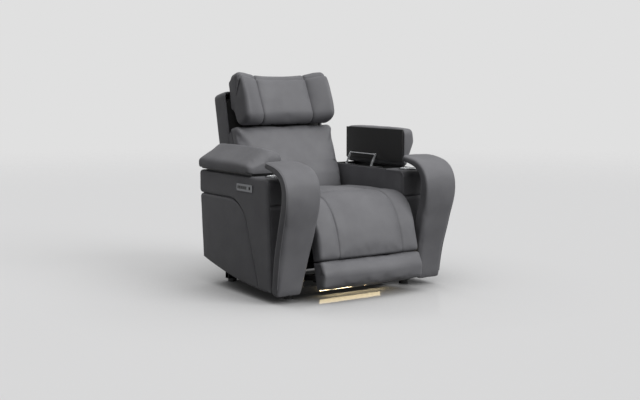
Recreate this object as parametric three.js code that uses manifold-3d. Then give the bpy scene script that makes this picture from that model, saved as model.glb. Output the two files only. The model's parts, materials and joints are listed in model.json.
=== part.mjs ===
// A power recliner seat for a cinema row or a home cinema, in millimetres.
// +X is the sitter's left, -Y the front, +Z up. The origin lies on the floor, under the middle of
// the base. The left arm's lid stands open; everything else is as it is when nobody sits in it.
import * as THREE from 'three';
import { mergeVertices } from 'three/addons/utils/BufferGeometryUtils.js';
import Module from 'manifold-3d';

const wasm = await Module();
wasm.setup();

// Fits and facets
const fitGap = 0.3; // between two pieces that touch
const cutOverrun = 9; // how far a cutter passes the face that it cuts
const arcSteps = 4; // facets on a rounded corner
const barrelSides = 16; // facets on pins, tubes and feet

// Seat and arms
const seatWidth = 580; // between the arms
const armWidth = 175;
const armTopHeight = 550;
const armFrontReach = 285; // from the origin to the front of the arm's carcass
const armRearReach = 300;
const boardThickness = 12;
const wellDepth = 215; // from the arm's top to the shelf that closes the storage well
const outerPanelThickness = 12;

// Upholstered faces of the arm
const panelEdgeRadius = 4;
const panelGap = 3; // between the upper and the lower outer panel
const panelFrontClearance = 47; // from the floor to the outer panels, at the front
const panelRearClearance = 128; // and at the rear
const panelSeamDrop = 111; // from the arm's top
const panelSeamCornerGap = 209; // from the carcass's front to the corner of the curved seam
const panelSeamFootGap = 73; // and to the seam's lower end
const panelSeamRadius = 170;
const frontPadTopThickness = 12; // in front of the carcass, at the top
const frontPadFootThickness = 34; // and at the foot
const frontPadTopLength = 120; // from the carcass's front to the rear edge of the padded arm top
const frontPadSeamDrop = 121; // from the arm's top
const frontPadSeamDepth = 5;
const frontPadCornerRadius = 18;
const rearPadThickness = 30; // behind the carcass, where it bulges
const rearPadPinchThickness = 10; // at its seam
const rearPadFootThickness = 3; // and at the foot

// Bolster: the padded strip that stands in front of each arm and curls back over it
const bolsterRise = 75; // over the arm's top
const bolsterForward = 185; // from the carcass's front to its foremost point
const bolsterThickness = 46;
const bolsterTipThickness = 26;
const bolsterProud = 8; // past the arm's outer face, at the top
const bolsterFootInset = 13; // inside the arm's outer face, at the foot
const bolsterInnerInset = 3; // inside the arm's inner face, at the top
const bolsterFootInnerInset = 43; // and at the foot
const bolsterFootHeight = 40;
const bolsterEdgeRadius = 15;
const bolsterRoundShare = 0.8; // of half its thickness, rounded at its edges
const bolsterEndShare = 0.6; // of its ends' drawing in, taken from the thickness

// Cup holder
const cupRadius = 37;
const cupWall = 2.5;
const cupDepth = 78;
const cupFrontGap = 63; // from the carcass's front to the cup's centre
const cupRingRadius = 46;
const cupRingThickness = 2.4;

// Storage bin in the arm
const binFrontGap = 135; // from the carcass's front to the front of the well
const binRearGap = 14; // from the carcass's rear to the rear of the well
const binWall = 2.5;
const binRimWidth = 6;
const binFloorRise = 4; // from the shelf to the bin's underside

// Lid of the arm
const lidFrontGap = 125; // from the carcass's front to the lid
const lidRearOverhang = 27; // behind the carcass
const lidRise = 6; // from the arm's top to the lid board
const lidBoardThickness = 6;
const lidBoardInset = 9;
const lidOverhang = 15; // past the arm's outer face
const lidPadEdgeHeight = 39; // the pad's outer side face
const lidPadHeight = 114; // the pad at its crest
const lidPadCrestInset = 68; // from the arm's inner face to the crest
const lidPadEndRadius = 30;
const lidPadInnerInset = 4; // from the arm's inner face to the pad
const lidPadLowRadius = 9;
const lidPadHighRadius = 18;
const lidInnerShare = 0.86; // of the crest's height, where the inner side turns over
const lidPivotInset = 26; // from the arm's outer face to the lid's pivot
const lidPivotRise = 45; // from the arm's top to the lid's pivot
const lidOpenAngle = 90;

// Lid hinges: a link between a base plate in the bin and an ear on the lid board, twice a lid
const hingeFrontPlace = 55; // from the origin towards the rear
const hingeRearGap = 32; // from the carcass's rear to the rear hinge
const hingeEarInset = 34; // from the arm's outer face to the ear's pin
const hingeEarDrop = 7; // from the lid board to the ear's pin
const hingeLinkReach = 60; // how far the base's pin lies from the line between the ear's two places
const hingePlateThickness = 3;
const hingeEyeRadius = 5;
const hingePinRadius = 2.2;
const hingeBaseDepth = 34;

// Control panel on the right arm's outer face
const controlLength = 139;
const controlHeight = 33;
const controlThickness = 3;
const controlCornerRadius = 5;
const controlFrontGap = 111; // from the carcass's front to the panel's front end
const controlDrop = 53; // from the arm's top to the panel's middle
const controlTrayDepth = 10;
const controlTrayInset = 5;
const controlEdge = 8; // from the panel's rear end to the button strip
const buttonCount = 4;
const buttonLength = 18;
const buttonHeight = 13;
const buttonPitch = 20;
const buttonRise = 1; // above the panel's face
const buttonDepth = 7;
const usbLength = 14;
const usbHeight = 15;
const usbPlace = 24; // from the panel's front end to the port's middle
const usbDepth = 8;
const usbSlotLength = 7;
const usbSlotHeight = 11;

// Base frame
const railSize = 30;
const railWall = 2;
const railRaise = 16; // from the floor to the rails
const crossRailOverreach = 70; // how far the long cross rails pass under each arm
const crossRailInset = 30; // from the carcass's front to the middle of the front rail
const sideRailInset = 40; // from the arms' inner faces to the side rails
const footRadius = 22;
const footInset = 30; // from a long rail's end to its foot
const lightHalfLength = 172;
const lightHeight = 24;
const lightRaise = 18;
const lightChannelDepth = 8;
const lightWall = 2;
const powerLength = 150;
const powerDepth = 70;
const powerHeight = 42;
const powerPlace = 240; // from the origin to the power unit's middle
const inletRadius = 5;
const inletDepth = 12;

// Side plates and their tubes
const plateSideGap = 14; // from an arm's inner face to the side plate
const plateThickness = 4;
const plateTopHeight = 329;
const plateFrontReach = 208;
const plateRearMargin = 18; // behind the back's pivot
const plateHoleRadius = 38;
const plateHoleCount = 4;
const tubeRadius = 12.5;
const tubeWall = 2;
const stubRadius = 10;
const washerRadius = 16;
const washerThickness = 2.5;
const cornerRadius = 24;
const rearTubeGap = 45; // from the back's pivot forward
const rearTubeDrop = 114; // from the side plates' top

// Leg rest: hinged to the front of the deck, and leaning forward at its foot
const legPivotReach = 330;
const legPivotRise = 7; // over the side plates' top
const legLean = 12.9;
const legStart = 22; // from the pivot down to the board and its pad
const legBoardOffset = 4; // from the pivot forward to the board
const legPadDepth = 84; // from the pivot forward to the pad's face
const legSideGap = 11; // from an arm's inner face to the leg rest
const legEdgeRadius = 13;
const legSwellShare = 0.3; // of the pad's length, where it has its full depth
const legCornerRadius = 24;
const legArmPlace = 203;
const legPinRadius = 5;
const legEyeRadius = 8;

// Footrest: the lower roll, carried on the links
const footrestGap = 1.5;
const footrestFloorGap = 46; // how much shorter than its pivot's height the leg rest is
const footrestLength = 127;
const footrestBulge = 92;
const footrestEndDepth = 74;
const footrestPinUp = 55; // from the footrest's end up to the pin of the front link
const footrestPinBack = 10;
const footrestEarThickness = 5;

// Footrest links
const tubePivotReach = 190;
const tubePivotDrop = 29; // from the side plates' top
const linkShare = 0.8; // of the leg rest's length
const linkWidth = 22;
const linkThickness = 5;
const linkPinRadius = 6;
const leverLength = 55;
const leverAngle = -135; // at rest, from -Y towards +Z
const leverPlace = 30;

// Actuator
const screwRailHalf = 12;
const screwRailDrop = 103; // from the side plates' top
const screwRailHeight = 22;
const screwRailFront = 258;
const screwRailRearGap = 72; // from the back's pivot forward
const carriageLength = 40;
const carriageWall = 8;
const carriageForkHalf = 6;
const forkSlotClearance = 2.6; // either side of the lever's pin
const forkTopDrop = 51; // from the side plates' top
const motorRadius = 26;
const motorLength = 92;
const gearboxHalf = 33;
const gearboxLength = 46;

// Seat
const deckThickness = 15;
const deckSideGap = 8; // from an arm's inner face to the deck
const deckFrontGap = 10; // from the leg rest's pivot back to the deck's front
const deckRearGap = 36; // from the back's pivot forward
const cushionThickness = 119.7;
const cushionRearGap = 78; // from the back's pivot forward
const cushionSideGap = 4; // from an arm's inner face to the cushion
const noseRadius = 152;
const noseCutForward = 18; // from the leg rest's pivot to where the cushion meets the front roll
const cushionEdgeRadius = 18;
const cushionCornerRadius = 30;
const cushionCrown = 7;
const seamPlace = 176; // from the middle to the two lengthways seams
const seamDepth = 7;
const seamWidth = 9;
const crossSeamPlace = 167;
const rollClearance = 2;

// Back, in its own leaning frame: its Y runs rearwards and its Z up along the lean
const backPivotDepth = 250;
const backPivotDrop = 29; // from the side plates' top
const backLean = 12;
const shellSideGap = 7; // from an arm's inner face to the shell
const shellFront = 29;
const shellRear = 131;
const shellTop = 625;
const shellFoot = 20;
const shellWall = 12;
const shellCornerRadius = 46;
const linerFront = 40;
const linerThickness = 8;
const linerFoot = 80;
const backPadFoot = 62;
const backPadTop = 455;
const backPadSideGap = 9; // from an arm's inner face to the back's pad
const backPadFootDepth = 97; // from the frame's origin forward to the face, at the foot
const backPadTopDepth = 50; // and at the top edge
const backPadEdgeRadius = 20;
const backPadCornerRadius = 34;
const backPadCrown = 8;
const bracketThickness = 4;
const bracketWidth = 46;
const bracketTop = 240;
const backStubRadius = 8;
const backMotorRadius = 30;
const backMotorLength = 96;

// Headrest, in the back's frame
const headPivot = [-62, 505]; // depth and height
const headRollRadius = 50;
const headSideGap = 28; // from an arm's inner face to the headrest's ends
const headTop = 702;
const headWingRise = 17;
const headRearFace = 3.5;
const headRearTopDepth = 14; // how far the rear face draws forward at the top
const headCentreFootDepth = 110;
const headCentreTopDepth = 62;
const headWingDepth = 134;
const headWingTopDepth = 96;
const headSeamPlace = 145;
const headWingPlace = 205;
const headEdgeRadius = 24;
const headCrestRadius = 30;
const headSeamDepth = 8;
const headSeamWidth = 10;
const headSlotInner = 66;
const headSlotWidth = 20;
const headSlotTop = 580;
const headSlotFront = 80;
const headPlateHalfWidth = 110;
const headPlateFoot = 545;
const headPlateTop = 680;
const headPlateThickness = 5;
const headArmThickness = 6;
const headLugThickness = 4;
const headArmWidth = 26;
const headPinRadius = 5;
const headFootplateHeight = 90;
const headFootplateThickness = 4;

// Values worked out from the ones above
const armInner = seatWidth / 2;
const armOuter = armInner + armWidth;
const armShelfHeight = armTopHeight - wellDepth;
const panelSeamHeight = armTopHeight - panelSeamDrop;
const frontPadSeamHeight = armTopHeight - frontPadSeamDrop;
const bolsterHeight = armTopHeight + bolsterRise;
const controlMiddleHeight = armTopHeight - controlDrop;
const panelSeamCorner = armFrontReach - panelSeamCornerGap;
const panelSeamFoot = armFrontReach - panelSeamFootGap;
const frontPadTopReach = armFrontReach + frontPadTopThickness;
const frontPadFootReach = armFrontReach + frontPadFootThickness;
const frontPadTopDepth = armFrontReach - frontPadTopLength;
const bolsterReach = armFrontReach + bolsterForward;
const cupPlaceDepth = armFrontReach - cupFrontGap;
const binFront = armFrontReach - binFrontGap;
const lidFront = armFrontReach - lidFrontGap;
const controlFront = armFrontReach - controlFrontGap;
const crossRailPlace = armFrontReach - crossRailInset;
const crossRailReach = armInner + crossRailOverreach;
const sideRailInner = armInner - sideRailInset;
const plateOuter = armInner - plateSideGap;
const legHalfWidth = armInner - legSideGap;
const deckHalfWidth = armInner - deckSideGap;
const cushionHalfWidth = armInner - cushionSideGap;
const shellHalfWidth = armInner - shellSideGap;
const backPadHalfWidth = armInner - backPadSideGap;
const headHalfWidth = armInner - headSideGap;
const carcassOuter = armOuter - outerPanelThickness - fitGap;
const railTop = railRaise + railSize;
const deckTop = plateTopHeight + fitGap + deckThickness;
const cushionTop = deckTop + cushionThickness;
const rearPadReach = armRearReach + rearPadThickness;
const rearPadPinch = armRearReach + rearPadPinchThickness;
const rearPadFootReach = armRearReach + rearPadFootThickness;
const binRear = armRearReach - binRearGap;
const lidRear = armRearReach + lidRearOverhang;
const hingePlaces = [hingeFrontPlace, armRearReach - hingeRearGap];
const plateRearReach = backPivotDepth + plateRearMargin;
const screwRailRear = backPivotDepth - screwRailRearGap;
const deckRear = backPivotDepth - deckRearGap;
const cushionRear = backPivotDepth - cushionRearGap;
const rearTubePlace = [backPivotDepth - rearTubeGap, plateTopHeight - rearTubeDrop]; // depth and height, as are the next
const tubePivot = [-tubePivotReach, plateTopHeight - tubePivotDrop];
const backPivot = [backPivotDepth, plateTopHeight - backPivotDrop];
const legPivot = [-legPivotReach, plateTopHeight + legPivotRise];
const deckFront = legPivotReach - deckFrontGap;
const noseReach = legPivotReach + legPadDepth;
const noseCut = legPivotReach + noseCutForward;
const footrestEnd = legPivot[1] - footrestFloorGap;
const legEnd = footrestEnd - footrestLength;
const footrestPinDown = footrestEnd - footrestPinUp;
const linkLength = footrestEnd * linkShare;
const screwRailTop = plateTopHeight - screwRailDrop;
const forkTopHeight = plateTopHeight - forkTopDrop;
const plateInner = plateOuter - plateThickness;
const rearLinkOuter = plateInner - 2 * fitGap;
const frontLinkOuter = rearLinkOuter - linkThickness - 2 * fitGap;
const earOuter = frontLinkOuter - linkThickness - 2 * fitGap;
const cupMiddle = (armInner + armOuter) / 2;
const cupBoreRadius = (cupRadius + cupWall + fitGap) / Math.cos(Math.PI / barrelSides); // clear at its flats

const leather = new THREE.Color('#6b6b6e');
const black = new THREE.Color('#1f1f20');
const steel = new THREE.Color('#5c5f63');

const degrees = (angle) => THREE.MathUtils.degToRad(angle);
const vector2 = (a, b) => new THREE.Vector2(a, b);

// Solids: joining, cutting and mirroring

function toSolid(geometry) {
  const bare = geometry.index ? geometry.clone() : mergeVertices(geometry.clone());
  bare.deleteAttribute('normal');
  bare.deleteAttribute('uv');
  const merged = mergeVertices(bare, 1e-4);
  return new wasm.Manifold(new wasm.Mesh({
    numProp: 3,
    vertProperties: new Float32Array(merged.attributes.position.array),
    triVerts: new Uint32Array(merged.index.array),
  }));
}

function toGeometry(solid) {
  const mesh = solid.getMesh();
  const geometry = new THREE.BufferGeometry();
  geometry.setAttribute('position', new THREE.BufferAttribute(mesh.vertProperties, 3));
  geometry.setIndex(new THREE.BufferAttribute(mesh.triVerts, 1));
  return geometry;
}

const join = (...parts) => toGeometry(parts.map(toSolid).reduce((a, b) => a.add(b)));
const cut = (body, ...tools) => toGeometry(tools.map(toSolid).reduce((a, b) => a.subtract(b), toSolid(body)));

// The same solid on the other side of the seat's middle
function mirrored(geometry) {
  const copy = geometry.index ? geometry.toNonIndexed() : geometry.clone();
  copy.deleteAttribute('normal');
  copy.deleteAttribute('uv');
  const place = copy.attributes.position;
  for (let i = 0; i < place.count; i += 3) {
    const corners = [0, 1, 2].map((k) => new THREE.Vector3().fromBufferAttribute(place, i + k));
    [0, 2, 1].forEach((from, k) => place.setXYZ(i + k, -corners[from].x, corners[from].y, corners[from].z));
  }
  return copy;
}

const onSide = (side, geometry) => (side > 0 ? geometry : mirrored(geometry));

// Basic forms

function box(x0, x1, y0, y1, z0, z1) {
  const form = new THREE.BoxGeometry(x1 - x0, y1 - y0, z1 - z0);
  return form.translate((x0 + x1) / 2, (y0 + y1) / 2, (z0 + z1) / 2);
}

// A round bar along X, between x0 and x1, through depth y and height z
function barX(radius, x0, x1, y, z) {
  const form = new THREE.CylinderGeometry(radius, radius, x1 - x0, barrelSides).rotateZ(Math.PI / 2);
  return form.translate((x0 + x1) / 2, y, z);
}

function barY(radius, y0, y1, x, z) {
  const form = new THREE.CylinderGeometry(radius, radius, y1 - y0, barrelSides);
  return form.translate(x, (y0 + y1) / 2, z);
}

function barZ(radius, z0, z1, x, y) {
  const form = new THREE.CylinderGeometry(radius, radius, z1 - z0, barrelSides).rotateX(Math.PI / 2);
  return form.translate(x, y, (z0 + z1) / 2);
}

// An outline through corners [a, b, radius]: each radius becomes an arc, limited by its two sides
function rounded(corners, steps = arcSteps) {
  const points = [];
  corners.forEach(([a, b, radius], i) => {
    const corner = vector2(a, b);
    if (!radius) {
      points.push(corner);
      return;
    }
    const before = corners.at(i - 1);
    const after = corners[(i + 1) % corners.length];
    const back = vector2(before[0], before[1]).sub(corner);
    const on = vector2(after[0], after[1]).sub(corner);
    const room = Math.min(back.length(), on.length()) / 2;
    back.normalize();
    on.normalize();
    const half = Math.acos(THREE.MathUtils.clamp(back.dot(on), -1, 1)) / 2;
    const reach = Math.min(radius / Math.tan(half), room);
    const real = reach * Math.tan(half);
    const centre = back.clone().add(on).normalize().multiplyScalar(real / Math.sin(half)).add(corner);
    const first = back.multiplyScalar(reach).add(corner).sub(centre).angle();
    const last = on.multiplyScalar(reach).add(corner).sub(centre).angle();
    const turn = Math.atan2(Math.sin(last - first), Math.cos(last - first));
    for (let k = 0; k <= steps; k += 1) {
      const angle = first + (turn * k) / steps;
      points.push(vector2(real * Math.cos(angle), real * Math.sin(angle)).add(centre));
    }
  });
  return points;
}

function circle(radius, a, b) {
  const steps = Array.from({ length: barrelSides }, (_, k) => (2 * Math.PI * k) / barrelSides);
  return steps.map((angle) => vector2(a + radius * Math.cos(angle), b + radius * Math.sin(angle)));
}

function extrude(outline, depth, holes, edge) {
  const shape = new THREE.Shape(outline);
  shape.holes = holes.map((hole) => new THREE.Path(hole));
  const rim = edge
    ? { bevelEnabled: true, bevelThickness: edge, bevelSize: edge, bevelOffset: -edge, bevelSegments: 2 }
    : { bevelEnabled: false };
  const form = new THREE.ExtrudeGeometry(shape, { depth: depth - 2 * (edge || 0), ...rim });
  return edge ? form.translate(0, 0, edge) : form;
}

// Plates: an outline of [depth, height] standing along X, of [x, height] along Y, of [x, depth] along Z
function plateX(outline, x0, x1, holes = [], edge = 0) {
  const turn = new THREE.Matrix4().set(0, 0, 1, x0, 1, 0, 0, 0, 0, 1, 0, 0, 0, 0, 0, 1);
  return extrude(outline, x1 - x0, holes, edge).applyMatrix4(turn);
}

function plateY(outline, y0, y1, holes = [], edge = 0) {
  const turn = new THREE.Matrix4().set(1, 0, 0, 0, 0, 0, -1, y1, 0, 1, 0, 0, 0, 0, 0, 1);
  return extrude(outline, y1 - y0, holes, edge).applyMatrix4(turn);
}

function plateZ(outline, z0, z1, holes = [], edge = 0) {
  return extrude(outline, z1 - z0, holes, edge).translate(0, 0, z0);
}

const rectangle = (a0, a1, b0, b1, radius = 0) => rounded([[a0, b0, radius], [a1, b0, radius], [a1, b1, radius],
  [a0, b1, radius]]);

// A closed body through rings of equal length; flat gives a ring's points in its own plane
function loft(rings, flat) {
  const count = rings[0].length;
  const faces = [];
  for (let i = 0; i < rings.length - 1; i += 1) {
    for (let j = 0; j < count; j += 1) {
      const a = i * count + j;
      const b = i * count + ((j + 1) % count);
      faces.push(a, b, b + count, a, b + count, a + count);
    }
  }
  [0, rings.length - 1].forEach((i) => {
    const ring = rings[i].map(flat);
    const sense = Math.sign(THREE.ShapeUtils.area(ring)) * (i ? 1 : -1);
    THREE.ShapeUtils.triangulateShape(ring, []).forEach((face) => {
      const turn = Math.sign(THREE.ShapeUtils.area(face.map((k) => ring[k])));
      const [a, b, c] = turn === sense ? face : [face[0], face[2], face[1]];
      faces.push(a + i * count, b + i * count, c + i * count);
    });
  });
  const points = rings.flat();
  let volume = 0;
  for (let k = 0; k < faces.length; k += 3) {
    volume += points[faces[k]].dot(points[faces[k + 1]].clone().cross(points[faces[k + 2]]));
  }
  const geometry = new THREE.BufferGeometry().setFromPoints(points);
  const order = volume > 0 ? faces : faces.map((_, k) => faces[k + [0, 1, -1][k % 3]]);
  geometry.setIndex(order);
  return geometry;
}

// Inward directions of a closed outline, one for each point
function inwards(outline) {
  const sense = Math.sign(THREE.ShapeUtils.area(outline));
  return outline.map((point, i) => {
    const before = outline.at(i - 1);
    const after = outline[(i + 1) % outline.length];
    const a = point.clone().sub(before).normalize();
    const b = after.clone().sub(point).normalize();
    const along = a.add(b).normalize();
    return vector2(-along.y, along.x).multiplyScalar(sense);
  });
}

// How far a padded body draws in at x: rounded at its ends, crowned, and sewn down in channels
function drawnIn(x, { halfWidth, edgeRadius, crown = 0, channels = [], depth = 0, width = 1 }) {
  const past = THREE.MathUtils.clamp((Math.abs(x) - halfWidth + edgeRadius) / edgeRadius, 0, 1);
  const end = edgeRadius * (1 - Math.sqrt(1 - past * past));
  const sewn = channels.map((place) => depth * Math.max(0, 1 - Math.abs(x - place) / width));
  return end + crown * (x / halfWidth) ** 2 + Math.max(0, ...sewn);
}

// Where a padded body needs a ring: round its ends, across its crown and at each channel
function stations({ halfWidth, edgeRadius, channels = [], width = 1 }, spans = arcSteps) {
  const flat = halfWidth - edgeRadius;
  const places = channels.filter((place) => place > 0).flatMap((place) => [place - width, place, place
    + width]);
  for (let k = 1; k <= arcSteps; k += 1) {
    places.push(flat + edgeRadius * Math.sin((Math.PI * k) / (2 * arcSteps)));
  }
  for (let k = 1; k <= spans; k += 1) {
    const even = (flat * k) / spans;
    if (places.every((x) => Math.abs(x - even) > width)) places.push(even);
  }
  const sorted = places.sort((a, b) => a - b);
  return [...sorted.map((x) => -x).reverse(), 0, ...sorted];
}

// A cushion: an outline of [depth, height] points swept along X. firm says which points rest on a
// board, and so keep their height while the rest draws in.
function cushion(outline, firm, form) {
  const inward = inwards(outline);
  const rings = stations(form).map((x) => {
    const give = drawnIn(x, form);
    return outline.map((point, i) => {
      const moved = inward[i].clone().multiplyScalar(firm(point) ? 0 : give).add(point);
      return new THREE.Vector3(x, moved.x, moved.y);
    });
  });
  return loft(rings, (p) => vector2(p.y, p.z));
}

// Moving frames

// A frame leaning back by an angle about X, at [depth, height]
function leaning(place, angle) {
  const frame = new THREE.Group();
  frame.position.set(0, place[0], place[1]);
  frame.rotation.x = -degrees(angle);
  return frame;
}

function node(name, geometry, color, roughness, metalness = 0) {
  const mesh = new THREE.Mesh(geometry, new THREE.MeshStandardMaterial({ color, roughness, metalness }));
  mesh.name = name;
  return mesh;
}

const leatherNode = (name, geometry) => node(name, geometry, leather, 0.5);
const blackNode = (name, geometry) => node(name, geometry, black, 0.7);
const steelNode = (name, geometry) => node(name, geometry, steel, 0.4, 0.9);

// The arm's padded rear edge, from its foot to its top: it bulges above and below a pinched seam
function armRearEdge() {
  const middle = (armTopHeight + panelSeamHeight) / 2;
  return rounded([[rearPadFootReach, panelRearClearance], [rearPadReach - 2 * panelEdgeRadius, panelSeamHeight
    - 2 * frontPadCornerRadius, frontPadCornerRadius], [rearPadPinch, panelSeamHeight], [rearPadReach, middle,
    frontPadCornerRadius], [rearPadReach - panelEdgeRadius, armTopHeight, frontPadCornerRadius],
  [rearPadFootReach, armTopHeight]]);
}

// Arm: a hollow carcass with a storage well, a cup bore and a cavity that opens downwards. It stands
// on the cross rails with two posts.
function armBox() {
  const inner = armInner + boardThickness;
  const outer = carcassOuter - boardThickness;
  const front = -armFrontReach + boardThickness;
  const rear = armRearReach - boardThickness;
  const outline = [...footEdge(-armFrontReach, rearPadFootReach).slice(0, -1), ...armRearEdge(),
    vector2(-frontPadTopDepth + fitGap, armTopHeight),
    vector2(-frontPadTopDepth + fitGap, armTopHeight - boardThickness), vector2(-armFrontReach, armTopHeight
      - boardThickness)];
  const body = plateX(outline, armInner, carcassOuter);
  const cavity = box(inner, outer, front, rear, railTop, armShelfHeight);
  const shelfTop = armShelfHeight + boardThickness;
  const well = box(inner, outer, -binFront, Math.min(binRear, rear), shelfTop, armTopHeight + cutOverrun);
  const cup = barZ(cupBoreRadius, armTopHeight - cupDepth - 2 * cupWall, armTopHeight + cutOverrun,
    cupMiddle, -cupPlaceDepth);
  const posts = [-crossRailPlace, crossRailPlace].map((y) => box(armInner, crossRailReach, y - railSize / 2, y
    + railSize / 2, railTop + fitGap, footLine(y) + 2 * boardThickness));
  return join(cut(body, cavity, well, cup), ...posts);
}

// The curved seam of the arm's outer side, from the rear edge to the foot, moved by offset
function outerSeam(offset) {
  const corner = [-panelSeamCorner - offset, panelSeamHeight + offset, panelSeamRadius + offset];
  const path = rounded([[rearPadPinch, panelSeamHeight + offset], corner,
    [-panelSeamFoot - offset, footLine(-panelSeamFoot - offset)], [rearPadPinch, 0]], 2 * arcSteps);
  return path.slice(0, path.length - 1);
}

// Height of the outer panels' lower edge at a depth
function footLine(depth) {
  const share = (depth + frontPadFootReach) / (rearPadFootReach + frontPadFootReach);
  return panelFrontClearance + (panelRearClearance - panelFrontClearance) * Math.max(0, share) ** 2;
}

function footEdge(from, to) {
  const steps = 2 * arcSteps;
  const places = Array.from({ length: steps + 1 }, (_, k) => from + ((to - from) * k) / steps);
  return places.map((depth) => vector2(depth, footLine(depth)));
}

function outerUpperPanel(pocket) {
  const seam = outerSeam(panelGap);
  const top = rounded([[-frontPadFootReach, panelFrontClearance], [-frontPadTopReach, armTopHeight, 2
    * frontPadCornerRadius], [rearPadReach, armTopHeight, frontPadCornerRadius], [rearPadReach,
    panelSeamHeight + panelGap, frontPadCornerRadius], [0, panelSeamHeight]]).slice(1, -1);
  const foot = footEdge(-panelSeamFoot - panelGap, -frontPadFootReach).slice(1);
  const outline = [...top, ...seam.slice(1), ...foot];
  const panel = plateX(outline, armOuter - outerPanelThickness, armOuter, [], panelEdgeRadius);
  return pocket ? cut(panel, pocket) : panel;
}

function outerLowerPanel() {
  const seam = outerSeam(-panelGap).slice(1);
  const foot = footEdge(-panelSeamFoot + panelGap, rearPadFootReach).slice(1);
  const rear = rounded([[0, 0], [rearPadFootReach + panelEdgeRadius, panelRearClearance],
    [rearPadReach - panelEdgeRadius, panelSeamHeight - panelGap, frontPadCornerRadius],
    [0, panelSeamHeight]]).slice(1, -1);
  const outline = [...seam, ...foot, ...rear.slice(1)];
  return plateX(outline, armOuter - outerPanelThickness, armOuter, [], panelEdgeRadius);
}

// The bolster's middle line, as shares of its reach in front of the arm and of its rise
const bolsterLineShares = [[0, 0], [0.27, 0.27], [0.54, 0.44], [0.74, 0.575], [0.9, 0.66], [1, 0.78],
  [0.9, 0.88], [0.59, 0.94], [0.13, 0.97], [-0.61, 1]];
const bolsterWideShare = 0.45; // of its length, where it has its full width
const bolsterTipShare = 0.62; // and where it starts to thin towards the tip
const bolsterMountShares = [0.04, 0.09, 0.14, 0.19]; // where it rests on the arm's wedge

function bolsterLine() {
  const foot = frontPadFootReach + fitGap + bolsterThickness / 2;
  const reach = bolsterReach - bolsterThickness / 2 - foot;
  const rise = bolsterHeight - bolsterTipThickness / 2 - bolsterFootHeight;
  return new THREE.SplineCurve(bolsterLineShares.map(([out, up]) => vector2(-foot - reach * out,
    bolsterFootHeight + rise * up)));
}

// The wedge behind the bolster's foot, which carries it
function bolsterWedge(slope) {
  const line = bolsterLine();
  const back = bolsterMountShares.map((share) => {
    const along = line.getTangentAt(share);
    const out = bolsterThickness / 2 + fitGap;
    return line.getPointAt(share).add(vector2(along.y, -along.x).multiplyScalar(out));
  });
  const [low, high] = [back[0].y, back.at(-1).y];
  const outline = [...back, vector2(slope(high) + boardThickness, high), vector2(slope(low) + boardThickness,
    low)];
  return plateX(outline, armInner + 2 * bolsterFootInnerInset, armOuter - 3 * bolsterFootInset);
}

// The front pad wraps from the arm's front face over the top, as far as the lid
function armFrontPad() {
  const back = -armFrontReach - fitGap;
  const top = armTopHeight;
  const under = armTopHeight - boardThickness + fitGap;
  const slope = (height) => -frontPadFootReach + ((height - panelFrontClearance)
    * (frontPadFootReach - frontPadTopReach)) / (armTopHeight - panelFrontClearance);
  const outline = [
    vector2(back, panelFrontClearance), vector2(back, under), vector2(-frontPadTopDepth, under),
    vector2(-frontPadTopDepth, top),
    ...rounded([[-frontPadTopDepth, top], [-frontPadTopReach, top, 2 * frontPadCornerRadius],
      [slope(frontPadSeamHeight), frontPadSeamHeight]]).slice(1, -1),
    vector2(slope(frontPadSeamHeight) - fitGap, frontPadSeamHeight + frontPadSeamDepth),
    vector2(slope(frontPadSeamHeight) + frontPadSeamDepth, frontPadSeamHeight),
    vector2(slope(frontPadSeamHeight) - fitGap, frontPadSeamHeight - frontPadSeamDepth),
    ...rounded([[0, panelFrontClearance], [slope(frontPadSeamHeight), frontPadSeamHeight],
      [-frontPadFootReach, panelFrontClearance, frontPadCornerRadius]]).slice(2),
  ];
  const pad = join(plateX(outline, armInner, carcassOuter), bolsterWedge(slope));
  const bore = barZ(cupBoreRadius, under - cutOverrun, top + cutOverrun, cupMiddle, -cupPlaceDepth);
  return cut(pad, bore);
}

// A padded strip that narrows towards its foot and thins towards its tip, with rounded ends
function bolster() {
  const line = bolsterLine();
  const section = (share, draw, shift) => {
    const middle = line.getPointAt(share);
    const along = line.getTangentAt(share);
    const widening = Math.min(1, share / bolsterWideShare);
    const thinning = THREE.MathUtils.smoothstep(share, bolsterTipShare, 1);
    const outer = armOuter + THREE.MathUtils.lerp(-bolsterFootInset, bolsterProud, widening) - draw;
    const inner = armInner + THREE.MathUtils.lerp(bolsterFootInnerInset, bolsterInnerInset, widening) + draw;
    const half = THREE.MathUtils.lerp(bolsterThickness, bolsterTipThickness, thinning) / 2
      - draw * bolsterEndShare;
    const ring = rectangle(inner, outer, -half, half, Math.min(bolsterEdgeRadius, half * bolsterRoundShare));
    return ring.map((p) => new THREE.Vector3(p.x, middle.x + along.y * p.y + along.x * shift,
      middle.y - along.x * p.y + along.y * shift));
  };
  const ends = [0, 1, 2].map((k) => (Math.PI * k) / 6);
  const drawOf = (angle) => bolsterEdgeRadius * (1 - Math.sin(angle));
  const shiftOf = (angle) => bolsterEdgeRadius * Math.cos(angle);
  const steps = 4 * arcSteps;
  const middle = Array.from({ length: steps + 1 }, (_, k) => k / steps);
  const rings = [
    ...ends.map((angle) => section(0, drawOf(angle), -shiftOf(angle) + bolsterEdgeRadius)),
    ...middle.slice(1, -1).map((share) => section(share, 0, 0)),
    ...ends.reverse().map((angle) => section(1, drawOf(angle), shiftOf(angle) - bolsterEdgeRadius)),
  ];
  return loft(rings, (p) => vector2(p.x, p.z - p.y));
}

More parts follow.
